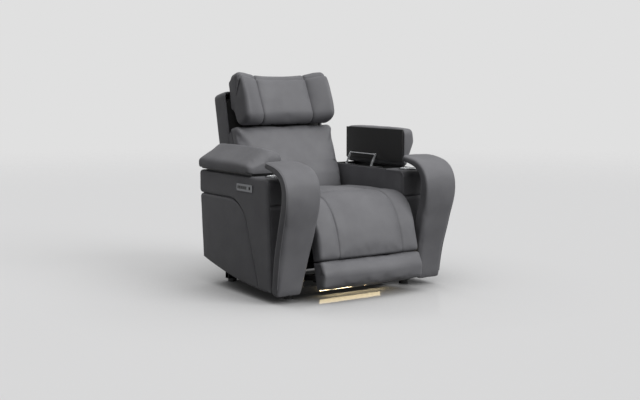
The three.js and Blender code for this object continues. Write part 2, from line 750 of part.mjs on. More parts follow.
// Cup holder: a turned cup that hangs in the arm by its rim, under a bright ring
function cupHolder() {
  const outer = cupRadius + cupWall;
  const floor = armTopHeight - cupDepth;
  const rim = armTopHeight + fitGap;
  const profile = [[0, floor - cupWall], [outer - cupWall, floor - cupWall], [outer, floor], [outer, rim],
    [cupRingRadius - cupWall, rim], [cupRingRadius - cupWall, rim + cupWall], [cupRadius, rim + cupWall],
    [cupRadius, floor + cupWall], [cupRadius - cupWall, floor], [0, floor]];
  const points = profile.map(([radius, height]) => vector2(radius, height));
  const cup = new THREE.LatheGeometry(points, barrelSides + 2 * arcSteps).rotateX(Math.PI / 2);
  return cup.translate(cupMiddle, -cupPlaceDepth, 0);
}

function cupRing() {
  const base = armTopHeight + 2 * fitGap + cupWall;
  const top = base + cupRingThickness;
  const inner = cupRadius + fitGap;
  const profile = [[inner, base], [cupRingRadius, base], [cupRingRadius, top - cupRingThickness / 2],
    [cupRingRadius - cupRingThickness / 2, top], [inner + cupRingThickness / 2, top],
    [inner, top - cupRingThickness / 2], [inner, base]];
  const points = profile.map(([radius, height]) => vector2(radius, height));
  const ring = new THREE.LatheGeometry(points, barrelSides + 2 * arcSteps).rotateX(Math.PI / 2);
  return ring.translate(cupMiddle, -cupPlaceDepth, 0);
}

// Storage bin: a thin box that hangs in the well by its rim
const wellInner = armInner + boardThickness;
const wellOuter = carcassOuter - boardThickness;

function storageBin() {
  const floor = armShelfHeight + boardThickness + binFloorRise;
  const rim = armTopHeight + fitGap;
  const shell = box(wellInner + fitGap, wellOuter - fitGap, -binFront + fitGap, binRear - fitGap, floor, rim
    + binWall);
  const flange = box(wellInner - binRimWidth, wellOuter + binRimWidth, -binFront - binRimWidth, binRear
    + binRimWidth, rim, rim + binWall);
  const wall = fitGap + binWall;
  const hollow = box(wellInner + wall, wellOuter - wall, -binFront + wall, binRear - wall, floor + binWall,
    rim + cutOverrun);
  return cut(join(shell, flange), hollow);
}

// Lid: a board, hinged on links, under a soft pad that slopes to the outside
const lidUnder = armTopHeight + lidRise;
const lidTurn = [armOuter - lidPivotInset, armTopHeight + lidPivotRise];
const earPin = [armOuter - hingeEarInset, lidUnder - hingeEarDrop];

// Where a point [x, height] of the closed left lid lies once it is open
function whenOpen([x, height]) {
  const turn = degrees(lidOpenAngle);
  const a = x - lidTurn[0];
  const b = height - lidTurn[1];
  return [lidTurn[0] + a * Math.cos(turn) + b * Math.sin(turn), lidTurn[1] - a * Math.sin(turn)
    + b * Math.cos(turn)];
}

// The base pin is as far from the ear's open place as from its closed one
function hingeBasePin() {
  const closed = vector2(...earPin);
  const open = vector2(...whenOpen(earPin));
  const across = open.clone().sub(closed).normalize();
  const middle = open.add(closed).multiplyScalar(1 / 2);
  return [middle.x - across.y * hingeLinkReach, middle.y + across.x * hingeLinkReach];
}

const basePin = hingeBasePin();
const linkAngleAt = ([x, height]) => Math.atan2(height - basePin[1], x - basePin[0]);
const lidLinkTurn = linkAngleAt(whenOpen(earPin)) - linkAngleAt(earPin);

function barOutline(from, to, width) {
  const a = vector2(...from);
  const b = vector2(...to);
  const along = b.clone().sub(a).angle();
  const outline = [];
  [[b, along - Math.PI / 2], [a, along + Math.PI / 2]].forEach(([end, start]) => {
    for (let k = 0; k <= 2 * arcSteps; k += 1) {
      const angle = start + (Math.PI * k) / (2 * arcSteps);
      outline.push(vector2(Math.cos(angle), Math.sin(angle)).multiplyScalar(width / 2).add(end));
    }
  });
  return outline;
}

const pinHole = (radius, [a, b]) => circle(radius + fitGap, a, b);

function lidBoard() {
  const board = box(armInner + lidBoardInset, armOuter - lidBoardInset, -lidFront + lidBoardInset, lidRear
    - lidBoardInset, lidUnder, lidUnder + lidBoardThickness);
  const ears = hingePlaces.map((place) => {
    const start = place + hingePlateThickness + fitGap;
    const outline = [...barOutline(earPin, [earPin[0], lidUnder], 2 * hingeEyeRadius)];
    const foot = rectangle(earPin[0] - hingeEyeRadius, earPin[0] + hingeEyeRadius, lidUnder - hingeEarDrop / 2,
      lidUnder + lidBoardThickness / 2);
    const ear = plateY(outline, start, start + hingePlateThickness, [pinHole(hingePinRadius, earPin)]);
    return join(ear, plateY(foot, start, start + hingePlateThickness));
  });
  return join(board, ...ears);
}

// Two links on one shaft, which runs through the ears of the lid board
function lidLinks() {
  const reach = 2 * fitGap + hingePlateThickness;
  const bars = hingePlaces.map((place) => join(
    plateY(barOutline(basePin, earPin, 2 * hingeEyeRadius), place, place + hingePlateThickness),
    barY(hingePinRadius, place - reach, place + hingePlateThickness / 2, ...basePin),
  ));
  const shaft = barY(hingePinRadius, hingePlaces[0] + hingePlateThickness / 2, hingePlaces[1]
    + hingePlateThickness + reach, ...earPin);
  return join(...bars, shaft);
}

function hingeBases() {
  const wall = wellOuter - fitGap - binWall - fitGap;
  const [x, height] = basePin;
  const outline = rounded([[wall, height - hingeBaseDepth], [wall, height - hingeEyeRadius],
    [x + hingeEyeRadius, height + hingeEyeRadius, hingeEyeRadius], [x - hingeEyeRadius, height
      + hingeEyeRadius, hingeEyeRadius], [x - hingeEyeRadius, height - hingeEyeRadius, hingeEyeRadius]]);
  const plates = hingePlaces.map((place) => plateY(outline, place - fitGap - hingePlateThickness, place
    - fitGap, [pinHole(hingePinRadius, basePin)]));
  const strip = box(wall - hingePlateThickness, wall, hingePlaces[0] - fitGap - hingePlateThickness,
    hingePlaces[1] - fitGap, height - hingeBaseDepth, height - 2 * hingeEyeRadius);
  return join(...plates, strip);
}

const lidHeightShares = [0.62, 0.7, 0.84, 0.95, 1, 1, 1]; // of the pad's height, front to rear
const lidPlaceShares = [0, 0.08, 0.2, 0.34, 0.5, 0.8, 1]; // of its length

function lidPad() {
  const base = lidUnder + lidBoardThickness + fitGap;
  const length = lidFront + lidRear;
  const heightAt = (share) => {
    const next = Math.max(1, lidPlaceShares.findIndex((place) => place >= share));
    const part = (share - lidPlaceShares[next - 1]) / (lidPlaceShares[next] - lidPlaceShares[next - 1]);
    return THREE.MathUtils.lerp(lidHeightShares[next - 1], lidHeightShares[next], part);
  };
  const ends = Array.from({ length: arcSteps + 1 }, (_, k) => (Math.PI * k) / (2 * arcSteps));
  const inset = ends.map((angle) => lidPadEndRadius * (1 - Math.sin(angle)));
  const places = [
    ...ends.map((angle, k) => [lidPadEndRadius * (1 - Math.cos(angle)), inset[k]]),
    ...lidPlaceShares.slice(2, -1).map((share) => [share * length, 0]),
    ...ends.map((angle, k) => [length - lidPadEndRadius * (1 - Math.cos(angle)), inset[k]]).reverse(),
  ];
  const rings = places.map(([place, draw]) => {
    const grown = heightAt(place / length);
    const edge = lidPadEdgeHeight * grown;
    const crest = lidPadHeight * grown;
    const outer = armOuter + lidOverhang;
    const outline = rounded([
      [armInner + lidPadInnerInset, base, lidPadLowRadius], [outer, base, lidPadLowRadius],
      [outer, base + edge, lidPadHighRadius], [armInner + lidPadCrestInset, base + crest, 2 * lidPadHighRadius],
      [armInner + lidPadInnerInset, base + crest * lidInnerShare, 2 * lidPadHighRadius]]);
    const inner = armInner + lidPadInnerInset;
    const narrow = 1 - (2 * draw) / (outer - inner);
    const low = 1 - draw / crest;
    return outline.map((point) => new THREE.Vector3((inner + outer) / 2 + (point.x - (inner + outer) / 2)
      * narrow, -lidFront + place, base + (point.y - base) * low));
  });
  return loft(rings, (p) => vector2(p.x, p.z));
}

// The left lid's pieces are turned open about the lid's turning point, the links about their base pins
function turned(geometry, [x, height], angle) {
  return geometry.translate(-x, 0, -height).rotateY(angle).translate(x, 0, height);
}

const opened = (geometry) => turned(geometry, lidTurn, degrees(lidOpenAngle));

// Control panel: a bezel with a tray behind it, four buttons and a charging port, on the right arm
const controlRear = -controlFront + controlLength;
const controlOuter = armOuter + fitGap + controlThickness;

const buttonMiddle = (k) => controlRear - controlEdge - buttonPitch * (k + 1 / 2);
const usbMiddle = -controlFront + usbPlace;

function opening(middle, length, height, grow) {
  return rectangle(middle - length / 2 - grow, middle + length / 2 + grow, controlMiddleHeight - height / 2
    - grow, controlMiddleHeight + height / 2 + grow);
}

function controlTray(grow, x0, x1) {
  const inset = controlTrayInset - grow;
  return box(x0, x1, -controlFront + inset, controlRear - inset, controlMiddleHeight - controlHeight / 2
    + inset, controlMiddleHeight + controlHeight / 2 - inset);
}

const controlPocket = () => controlTray(fitGap, armOuter - controlTrayDepth - fitGap, armOuter + cutOverrun);

function controlBezel() {
  const back = armOuter + fitGap;
  const face = plateX(rectangle(-controlFront, controlRear, controlMiddleHeight - controlHeight / 2,
    controlMiddleHeight + controlHeight / 2, controlCornerRadius), back, controlOuter);
  const tray = controlTray(0, armOuter - controlTrayDepth, back + fitGap);
  const hollow = controlTray(-binWall, armOuter - controlTrayDepth + binWall, back);
  const holes = Array.from({ length: buttonCount }, (_, k) => plateX(opening(buttonMiddle(k), buttonLength,
    buttonHeight, fitGap), armOuter, controlOuter + cutOverrun));
  const port = plateX(opening(usbMiddle, usbLength, usbHeight, fitGap), armOuter, controlOuter + cutOverrun);
  return cut(join(face, tray), hollow, ...holes, port);
}

function controlButton(k) {
  return plateX(opening(buttonMiddle(k), buttonLength, buttonHeight, 0), controlOuter + buttonRise
    - buttonDepth, controlOuter + buttonRise, [], buttonRise / 2);
}

function usbPort() {
  const body = plateX(opening(usbMiddle, usbLength, usbHeight, 0), controlOuter - usbDepth, controlOuter);
  const slot = plateX(opening(usbMiddle, usbSlotLength, usbSlotHeight, 0), controlOuter - usbDepth
    + controlThickness, controlOuter + cutOverrun);
  return cut(body, slot);
}

// Base: a welded frame of square tube, two long cross rails that carry the arms, two side rails and a
// middle rail, on five round feet
function railBars(wall) {
  const half = railSize / 2 - wall;
  const low = railRaise + wall;
  const high = railTop - wall;
  const reach = wall ? cutOverrun : 0;
  const long = [-crossRailPlace, crossRailPlace].map((y) => box(-crossRailReach - reach, crossRailReach
    + reach, y - half, y + half, low, high));
  const middle = sideRailInner + railSize / 2;
  const sides = [-middle, middle].map((x) => box(x - half, x + half, -crossRailPlace, crossRailPlace, low,
    high));
  return [...long, ...sides, box(-middle, middle, -half, half, low, high)];
}

function baseFrame() {
  const places = [[0, 0]];
  const reach = crossRailReach - footInset;
  [-1, 1].forEach((x) => places.push([x * reach, -crossRailPlace], [x * reach, crossRailPlace]));
  const feet = places.map(([x, y]) => barZ(footRadius, 0, railRaise + railWall / 2, x, y));
  return join(cut(join(...railBars(0)), ...railBars(railWall)), ...feet);
}

const lightBack = -crossRailPlace - railSize / 2 - fitGap;

function lightChannel() {
  const front = lightBack - lightChannelDepth;
  const body = box(-lightHalfLength, lightHalfLength, front, lightBack, lightRaise, lightRaise + lightHeight);
  const groove = box(-lightHalfLength - cutOverrun, lightHalfLength + cutOverrun, front - cutOverrun,
    lightBack - lightWall, lightRaise + lightWall, lightRaise + lightHeight - lightWall);
  return cut(body, groove);
}

function lightDiffuser() {
  const wall = lightWall + fitGap;
  return box(-lightHalfLength + fitGap, lightHalfLength - fitGap, lightBack - lightChannelDepth, lightBack
    - wall, lightRaise + wall, lightRaise + lightHeight - wall);
}

function powerUnit() {
  const base = railTop + fitGap;
  const rear = powerPlace + powerDepth / 2;
  const body = plateZ(rectangle(-powerLength / 2, powerLength / 2, powerPlace - powerDepth / 2, rear,
    powerHeight / 6), base, base + powerHeight, [], lightWall);
  return cut(body, barY(inletRadius, rear - inletDepth, rear + cutOverrun, powerLength / 4, base
    + powerHeight / 2));
}

// Side plates carry the deck, the back's pivots and the footrest's tube
function sidePlate() {
  const foot = railTop + fitGap;
  const outline = rounded([[-plateFrontReach, foot], [plateRearReach - 2 * cornerRadius, foot],
    [plateRearReach, backPivot[1] - 2 * cornerRadius, cornerRadius], [plateRearReach, plateTopHeight,
      cornerRadius], [-plateFrontReach, plateTopHeight, cornerRadius]]);
  const middle = (foot + plateTopHeight) / 2;
  const pitch = (plateFrontReach + plateRearReach) / (plateHoleCount + 1);
  const round = Array.from({ length: plateHoleCount }, (_, k) => circle(plateHoleRadius, -plateFrontReach
    + pitch * (k + 5 / 6), middle));
  const bearings = [pinHole(stubRadius, tubePivot), pinHole(backStubRadius, backPivot)];
  return plateX(outline, plateInner, plateOuter, [...round, ...bearings]);
}

function crossTube([depth, height]) {
  const end = plateInner - fitGap;
  return plateX(circle(tubeRadius, depth, height), -end, end, [circle(tubeRadius - tubeWall, depth,
    height)]);
}

// A stub and its washer, through a side plate from the inside
function stub(radius, from, depth, height) {
  const outside = plateOuter + fitGap;
  return [barX(radius, from, outside + washerThickness / 2, depth, height),
    barX(washerRadius, outside, outside + washerThickness, depth, height)];
}

// Points of the leg rest's plane: down from its pivot and forward from it, at a sweep from rest
function legPoint(down, forward, sweep = 0) {
  const angle = degrees(sweep - 90 + legLean);
  return [legPivot[0] - down * Math.cos(angle) + forward * Math.sin(angle), legPivot[1]
    + down * Math.sin(angle) + forward * Math.cos(angle)];
}

const footPin = legPoint(footrestPinDown, -footrestPinBack);

// The elbow of the two equal links lies behind and below the line from the tube to the footrest
function elbowBetween(from, to) {
  const half = vector2(to[0] - from[0], to[1] - from[1]).multiplyScalar(1 / 2);
  const out = Math.sqrt(linkLength ** 2 - half.lengthSq());
  const across = vector2(half.y, -half.x).normalize().multiplyScalar(-out);
  return [from[0] + half.x + across.x, from[1] + half.y + across.y];
}

const elbow = elbowBetween(tubePivot, footPin);
function rearLink() {
  const inner = rearLinkOuter - linkThickness;
  const bar = plateX(barOutline(tubePivot, elbow, linkWidth), inner, rearLinkOuter);
  return join(bar, barX(linkPinRadius, frontLinkOuter - linkThickness, inner + fitGap, ...elbow));
}

function frontLink() {
  const inner = frontLinkOuter - linkThickness;
  const bar = plateX(barOutline(elbow, footPin, linkWidth), inner, frontLinkOuter, [pinHole(linkPinRadius,
    elbow)]);
  const pin = barX(linkPinRadius, earOuter - footrestEarThickness, inner + fitGap, ...footPin);
  return join(bar, pin);
}

const leverPin = [tubePivot[0] - leverLength * Math.cos(degrees(leverAngle)), tubePivot[1]
  + leverLength * Math.sin(degrees(leverAngle))];

// The tube with both rear links welded on, and the lever that the actuator pushes
function driveTube() {
  const end = rearLinkOuter - linkThickness / 2;
  const lever = plateX(barOutline(tubePivot, leverPin, linkWidth), leverPlace, leverPlace + linkThickness);
  const stubs = stub(stubRadius, end, ...tubePivot);
  const reach = leverPlace + linkThickness;
  const link = rearLink();
  return join(barX(tubeRadius, -end, end, ...tubePivot), ...stubs, ...stubs.map(mirrored), lever,
    mirrored(lever), link, mirrored(link), barX(linkPinRadius, -reach, reach, ...leverPin));
}

// Actuator: a rail, a carriage whose fork holds the lever's pin, and the motor with its gearbox
function actuatorRail() {
  const bottom = screwRailTop - screwRailHeight;
  const body = box(-screwRailHalf, screwRailHalf, -screwRailFront, screwRailRear, bottom, screwRailTop);
  const groove = box(-screwRailHalf / 2, screwRailHalf / 2, -screwRailFront - cutOverrun, screwRailRear
    - cutOverrun, bottom - cutOverrun, screwRailTop - screwRailHeight / 3);
  return cut(body, groove);
}

function actuatorCarriage() {
  const middle = leverPin[0];
  const half = screwRailHalf + fitGap;
  const bottom = screwRailTop - screwRailHeight - fitGap;
  const top = screwRailTop + fitGap;
  const block = box(-half - carriageWall, half + carriageWall, middle - carriageLength / 2, middle
    + carriageLength / 2, bottom - carriageWall, top + carriageWall);
  const bore = box(-half, half, middle - carriageLength, middle + carriageLength, bottom, top);
  const slotHalf = linkPinRadius + forkSlotClearance;
  const fork = box(-carriageForkHalf, carriageForkHalf, middle - slotHalf - carriageWall, middle + slotHalf
    + carriageWall, top + fitGap, forkTopHeight);
  const slot = box(-carriageForkHalf - cutOverrun, carriageForkHalf + cutOverrun, middle - slotHalf, middle
    + slotHalf, top + carriageWall, forkTopHeight + cutOverrun);
  return cut(join(block, fork), bore, slot);
}

function actuatorMotor() {
  const middle = screwRailTop - screwRailHeight / 2;
  const front = screwRailRear + fitGap - gearboxLength;
  const rear = screwRailRear + fitGap;
  const gearbox = plateZ(rectangle(-gearboxHalf, gearboxHalf, front, rear, gearboxHalf / 4), middle
    - gearboxHalf, middle + gearboxHalf);
  const socket = box(-screwRailHalf - fitGap, screwRailHalf + fitGap, front - cutOverrun, screwRailRear
    + fitGap / 2, screwRailTop - screwRailHeight - fitGap, screwRailTop + fitGap);
  const motor = barZ(motorRadius, middle - gearboxHalf - motorLength, middle - gearboxHalf + fitGap, 0,
    (front + rear) / 2);
  const clevis = box(-screwRailHalf, screwRailHalf, rear - fitGap, rearTubePlace[0] + tubeRadius
    + carriageWall, middle - tubeRadius - carriageWall, middle + tubeRadius + carriageWall);
  const bore = barX(tubeRadius + fitGap, -gearboxHalf, gearboxHalf, ...rearTubePlace);
  return cut(join(gearbox, motor, clevis), socket, bore);
}

// Leg rest, in a frame at its pivot: Z runs back up the board, -Y is its face
function legBoard() {
  const back = -legBoardOffset;
  const board = box(-legHalfWidth + lidBoardInset, legHalfWidth - lidBoardInset, back - boardThickness, back,
    -legEnd, -legStart);
  const arm = plateX(barOutline([0, 0], [0, -legStart - legEyeRadius], 2 * legEyeRadius), legArmPlace,
    legArmPlace + linkThickness);
  const pin = barX(legPinRadius, legArmPlace + linkThickness / 2, legArmPlace + 2 * linkThickness + 2
    * fitGap, 0, 0);
  const hinge = join(arm, pin);
  return join(board, hinge, mirrored(hinge));
}

const legPadForm = { halfWidth: legHalfWidth, edgeRadius: legEdgeRadius, crown: cushionCrown,
  channels: [-seamPlace, seamPlace], depth: seamDepth, width: seamWidth };

function legPad() {
  const back = -legBoardOffset - boardThickness - fitGap;
  const outline = [vector2(back, -legStart), vector2(-legPadDepth + cushionCrown / 2, -legStart),
    vector2(-legPadDepth, -legStart - legSwellShare * (legEnd - legStart)), vector2(-legPadDepth, -legEnd
      + 2 * legCornerRadius),
    ...rounded([[-legPadDepth, -legStart], [-legPadDepth, -legEnd, legCornerRadius], [back, -legEnd]])
      .slice(1, -1), vector2(back, -legEnd)];
  return cushion(outline, (p) => p.x > back - fitGap || p.y > -legStart - fitGap, legPadForm);
}

// Footrest: a short board with ears for the links, under a full roll
function footrestBoard() {
  const back = -legBoardOffset;
  const top = -legEnd - footrestGap;
  const board = box(-legHalfWidth + lidBoardInset, legHalfWidth - lidBoardInset, back - boardThickness, back,
    -footrestEnd + legEdgeRadius, top);
  const ear = plateX(barOutline([footrestPinBack, -footrestPinDown], [back - linkPinRadius,
    -footrestPinDown], linkWidth), earOuter - footrestEarThickness, earOuter, [pinHole(linkPinRadius,
    [footrestPinBack, -footrestPinDown])]);
  const trimmed = cut(ear, box(0, legHalfWidth, back - boardThickness - linkWidth, back - boardThickness,
    -footrestEnd, -legStart));
  return join(board, trimmed, mirrored(trimmed));
}

function footrestPad() {
  const back = -legBoardOffset - boardThickness - fitGap;
  const top = -legEnd - footrestGap;
  const middle = (top - footrestEnd) / 2;
  const outline = [vector2(back, top), ...rounded([[back, top], [-legPadDepth + legEdgeRadius / 2, top,
    legCornerRadius], [-footrestBulge, middle, 5 * legEdgeRadius], [-footrestEndDepth, -footrestEnd,
    legCornerRadius], [back, -footrestEnd]], 2 * arcSteps).slice(1, -1), vector2(back, -footrestEnd)];
  const form = { ...legPadForm, channels: [], depth: 0 };
  return cushion(outline, (p) => p.x > back - fitGap, form);
}

// Seat: a deck on the side plates, a cushion, and the soft front roll that folds with the leg rest
function seatDeck() {
  const base = plateTopHeight + fitGap;
  const deck = box(-deckHalfWidth, deckHalfWidth, -deckFront, deckRear, base, deckTop);
  const place = legArmPlace + linkThickness + fitGap;
  const lug = plateX(barOutline(legPivot, [-deckFront + legEyeRadius, legPivot[1]], deckThickness), place,
    place + linkThickness, [pinHole(legPinRadius, legPivot)]);
  return join(deck, lug, mirrored(lug));
}

// The nose is an arc that runs on from the cushion's top; its angles count up from the front
const noseCentre = [noseRadius - noseReach, cushionTop - noseRadius];
const noseAngle = (depth) => Math.acos((noseCentre[0] - depth) / noseRadius);

function nosePoints(from, to) {
  const angles = Array.from({ length: arcSteps + 1 }, (_, k) => from + ((to - from) * k) / arcSteps);
  return angles.map((angle) => vector2(noseCentre[0] - noseRadius * Math.cos(angle), noseCentre[1]
    + noseRadius * Math.sin(angle)));
}

function seatCushion() {
  const base = deckTop + fitGap;
  const outline = [vector2(-noseCut, base), vector2(cushionRear, base),
    ...rounded([[cushionRear, base], [cushionRear, cushionTop, cushionCornerRadius], [0, cushionTop]])
      .slice(1, -1),
    vector2(0, cushionTop), vector2(-crossSeamPlace + seamWidth, cushionTop), vector2(-crossSeamPlace,
      cushionTop - seamDepth), vector2(-crossSeamPlace - seamWidth, cushionTop),
    ...nosePoints(noseAngle(noseCentre[0]), noseAngle(-noseCut))];
  return cushion(outline, (p) => p.y < base + fitGap, { halfWidth: cushionHalfWidth, edgeRadius:
    cushionEdgeRadius, crown: cushionCrown, channels: [-seamPlace, seamPlace], depth: seamDepth, width:
    seamWidth });
}

// The soft roll between the cushion and the leg rest's pad: it folds away as the leg rest rises
function seatFrontRoll() {
  const foot = legStart - rollClearance;
  const front = legPoint(foot, legPadDepth)[1];
  const back = legPoint(foot, legBoardOffset + boardThickness)[1];
  const cutPlace = -noseCut - fitGap;
  const face = nosePoints(noseAngle(cutPlace), Math.asin((front - noseCentre[1]) / noseRadius));
  const outline = [...face, vector2(cutPlace, back)];
  return cushion(outline, (p) => p.x > cutPlace - fitGap, { ...legPadForm, halfWidth: cushionHalfWidth,
    edgeRadius: cushionEdgeRadius });
}

// Back: a shell open at its foot and front, with a black liner, the pad and the hinge brackets
function backShell() {
  const shape = rounded([[-shellHalfWidth, shellFoot], [shellHalfWidth, shellFoot], [shellHalfWidth, shellTop,
    shellCornerRadius], [-shellHalfWidth, shellTop, shellCornerRadius]], 2 * arcSteps);
  const inner = shellHalfWidth - shellWall;
  const hollow = rounded([[-inner, shellFoot - cutOverrun], [inner, shellFoot - cutOverrun], [inner, shellTop
    - shellWall, shellCornerRadius - shellWall], [-inner, shellTop - shellWall, shellCornerRadius
    - shellWall]], 2 * arcSteps);
  const body = plateY(shape, shellFront, shellRear, [], panelEdgeRadius);
  return cut(body, plateY(hollow, shellFront - cutOverrun, shellRear - shellWall));
}

function backLiner() {
  const side = shellHalfWidth - shellWall - bracketThickness - 2 * fitGap;
  const top = shellTop - shellWall - fitGap;
  const shape = rounded([[-side, linerFoot], [side, linerFoot], [side, top, shellCornerRadius - shellWall
    + fitGap], [-side, top, shellCornerRadius - shellWall + fitGap]]);
  return plateY(shape, linerFront, linerFront + linerThickness);
}

function backCushion() {
  const rear = shellFront - fitGap;
  const outline = [vector2(rear, backPadFoot), vector2(rear, backPadTop - 2 * backPadEdgeRadius),
    ...rounded([[rear, backPadFoot], [rear - backPadEdgeRadius / 2, backPadTop, backPadCornerRadius],
      [-backPadTopDepth, backPadTop - backPadEdgeRadius, 2 * backPadCornerRadius],
      [-backPadFootDepth + backPadCrown, (backPadFoot + backPadTop) / 2, 5 * backPadEdgeRadius],
      [-backPadFootDepth, (backPadFoot * 2 + backPadTop) / 3, 5 * backPadEdgeRadius],
      [-backPadFootDepth, backPadFoot, backPadCornerRadius]]).slice(1)];
  return cushion(outline, (p) => p.x > rear - fitGap, { halfWidth: backPadHalfWidth, edgeRadius:
    backPadEdgeRadius, crown: backPadCrown });
}

function backBracket() {
  const outer = shellHalfWidth - shellWall - fitGap;
  const eye = backStubRadius * 2;
  const front = linerFront + linerThickness + fitGap;
  const outline = rounded([[-eye, -eye, eye], [eye, -eye, eye], [front + bracketWidth, linerFoot + eye, eye],
    [front + bracketWidth, bracketTop, eye / 2], [front, bracketTop, eye / 2], [front, linerFoot + eye, eye],
    [front - eye, shellFoot, 0], [-eye, eye, eye]]);
  const plate = plateX(outline, outer - bracketThickness, outer);
  return join(plate, ...stub(backStubRadius, outer - bracketThickness / 2, 0, 0));
}

// The motor that turns the back stands beside the left bracket, on an arm from the cross tube
function backMotor() {
  const outer = shellHalfWidth - shellWall - bracketThickness - 2 * fitGap;
  const inner = outer - backMotorLength;
  const middle = inner + backMotorLength / 2;
  const casing = barX(backMotorRadius, inner, outer - washerThickness, ...backPivot);
  const shaft = barX(backStubRadius, middle, outer, ...backPivot);
  const clamp = barX(tubeRadius + carriageWall, middle - carriageLength / 2, middle + carriageLength / 2,
    ...rearTubePlace);
  const arm = plateX(barOutline(rearTubePlace, backPivot, linkWidth), middle - carriageWall, middle
    + carriageWall);
  const bore = barX(tubeRadius + fitGap, inner, outer, ...rearTubePlace);
  return cut(join(casing, shaft, clamp, arm), bore);
}

// Headrest: a plate on pivots, carried by two arms on the liner, and a pad with wings
function headBracket() {
  const rear = linerFront - fitGap;
  const foot = box(-headPlateHalfWidth, headPlateHalfWidth, rear - headFootplateThickness, rear, headPivot[1]
    - headFootplateHeight / 2, headPivot[1] + headFootplateHeight / 2);
  const inner = headSlotInner + fitGap + headLugThickness;
  const arm = plateX(barOutline(headPivot, [rear - headArmWidth / 2, headPivot[1]], headArmWidth), inner,
    inner + headArmThickness, [pinHole(headPinRadius, headPivot)]);
  return join(foot, arm, mirrored(arm));
}

function headPlate() {
  const rear = headRearFace + fitGap;
  const plate = plateY(rectangle(-headPlateHalfWidth, headPlateHalfWidth, headPlateFoot, headPlateTop,
    headEdgeRadius / 2), rear, rear + headPlateThickness);
  const inner = headSlotInner + fitGap + headLugThickness + headArmThickness + fitGap;
  const lug = plateX(barOutline(headPivot, [rear + headPlateThickness / 2, headPlateFoot + headArmWidth / 2],
    headArmWidth - headPinRadius), inner, inner + headLugThickness);
  const trimmed = cut(lug, box(0, headPlateHalfWidth, rear + headPlateThickness, rear + headArmWidth,
    headPlateFoot - headArmWidth, headPlateTop));
  const pin = barX(headPinRadius, headSlotInner + headLugThickness, inner + headLugThickness / 2,
    ...headPivot);
  const one = join(trimmed, pin);
  return join(plate, one, mirrored(one));
}

const headFrontShares = [0.12, 0.35, 0.6, 0.85]; // up the front face, from the roll to the top edge
const headWingShares = [1, 0.92, 0.7, 0.3]; // how much of the wings' depth is left there

function headCushion() {
  const form = { halfWidth: headHalfWidth, edgeRadius: headEdgeRadius, crown: 0,
    channels: [-headSeamPlace, headSeamPlace], depth: headSeamDepth, width: headSeamWidth };
  const [axis, low] = headPivot;
  const places = stations(form, arcSteps + 1);
  const rings = places.map((x) => {
    const wing = THREE.MathUtils.smoothstep(Math.abs(x), headSeamPlace, headWingPlace);
    const top = headTop + headWingRise * wing;
    const footDepth = THREE.MathUtils.lerp(headCentreFootDepth, headWingDepth, wing);
    const topDepth = THREE.MathUtils.lerp(headCentreTopDepth, headWingTopDepth, wing);
    const roll = Array.from({ length: 2 * arcSteps + 1 }, (_, k) => {
      const angle = (-Math.PI * k) / (2 * arcSteps);
      const out = k > arcSteps ? footDepth + axis : headRollRadius;
      return vector2(axis + out * Math.cos(angle), low + headRollRadius * Math.sin(angle));
    });
    const face = headFrontShares.map((share, k) => {
      const depth = THREE.MathUtils.lerp(topDepth, footDepth, wing > 0 ? THREE.MathUtils.lerp(1 - share,
        headWingShares[k], wing) : 1 - share);
      return vector2(-depth, low + share * (top - low));
    });
    const crest = rounded([[-topDepth, low], [-topDepth + headSeamDepth / 2, top, headCrestRadius],
      [-headRearTopDepth, top - headSeamDepth, headCrestRadius], [headRearFace, headPlateTop]]).slice(1);
    const outline = [...roll, ...face, ...crest, vector2(headRearFace, headPlateFoot)];
    const inward = inwards(outline);
    const give = drawnIn(x, form);
    return outline.map((point, i) => {
      const moved = inward[i].clone().multiplyScalar(point.x > headRearFace - fitGap ? 0 : give).add(point);
      return new THREE.Vector3(x, moved.x, moved.y);
    });
  });
  const body = loft(rings, (p) => vector2(p.y, p.z));
  const slot = box(headSlotInner, headSlotInner + headSlotWidth, -headSlotFront, cutOverrun, low
    - headRollRadius - cutOverrun, headSlotTop);
  return cut(body, slot, mirrored(slot));
}

// Assembly
const seat = new THREE.Group();

[['right', -1], ['left', 1]].forEach(([side, sign]) => {
  const put = (make, name, geometry) => seat.add(make(`${name}_${side}`, onSide(sign, geometry)));
  const lid = sign > 0 ? opened : (geometry) => geometry;
  const links = sign > 0 ? turned(lidLinks(), basePin, -lidLinkTurn) : lidLinks();
  put(leatherNode, 'arm_box', armBox());
  put(leatherNode, 'arm_outer_panel_upper', outerUpperPanel(sign < 0 ? controlPocket() : null));
  put(leatherNode, 'arm_outer_panel_lower', outerLowerPanel());
  put(leatherNode, 'arm_front_pad', armFrontPad());
  put(leatherNode, 'bolster', bolster());
  put(blackNode, 'storage_bin', storageBin());
  put(blackNode, 'cup_holder', cupHolder());
  put(steelNode, 'cup_ring', cupRing());
  put(blackNode, 'lid_board', lid(lidBoard()));
  put(leatherNode, 'lid_pad', lid(lidPad()));
  put(steelNode, 'lid_links', links);
  put(steelNode, 'lid_hinge_bases', hingeBases());
});

seat.add(steelNode('control_bezel', mirrored(controlBezel())));
for (let k = 0; k < buttonCount; k += 1) {
  seat.add(blackNode(`control_button_${k + 1}`, mirrored(controlButton(k))));
}
seat.add(blackNode('usb_port', mirrored(usbPort())));

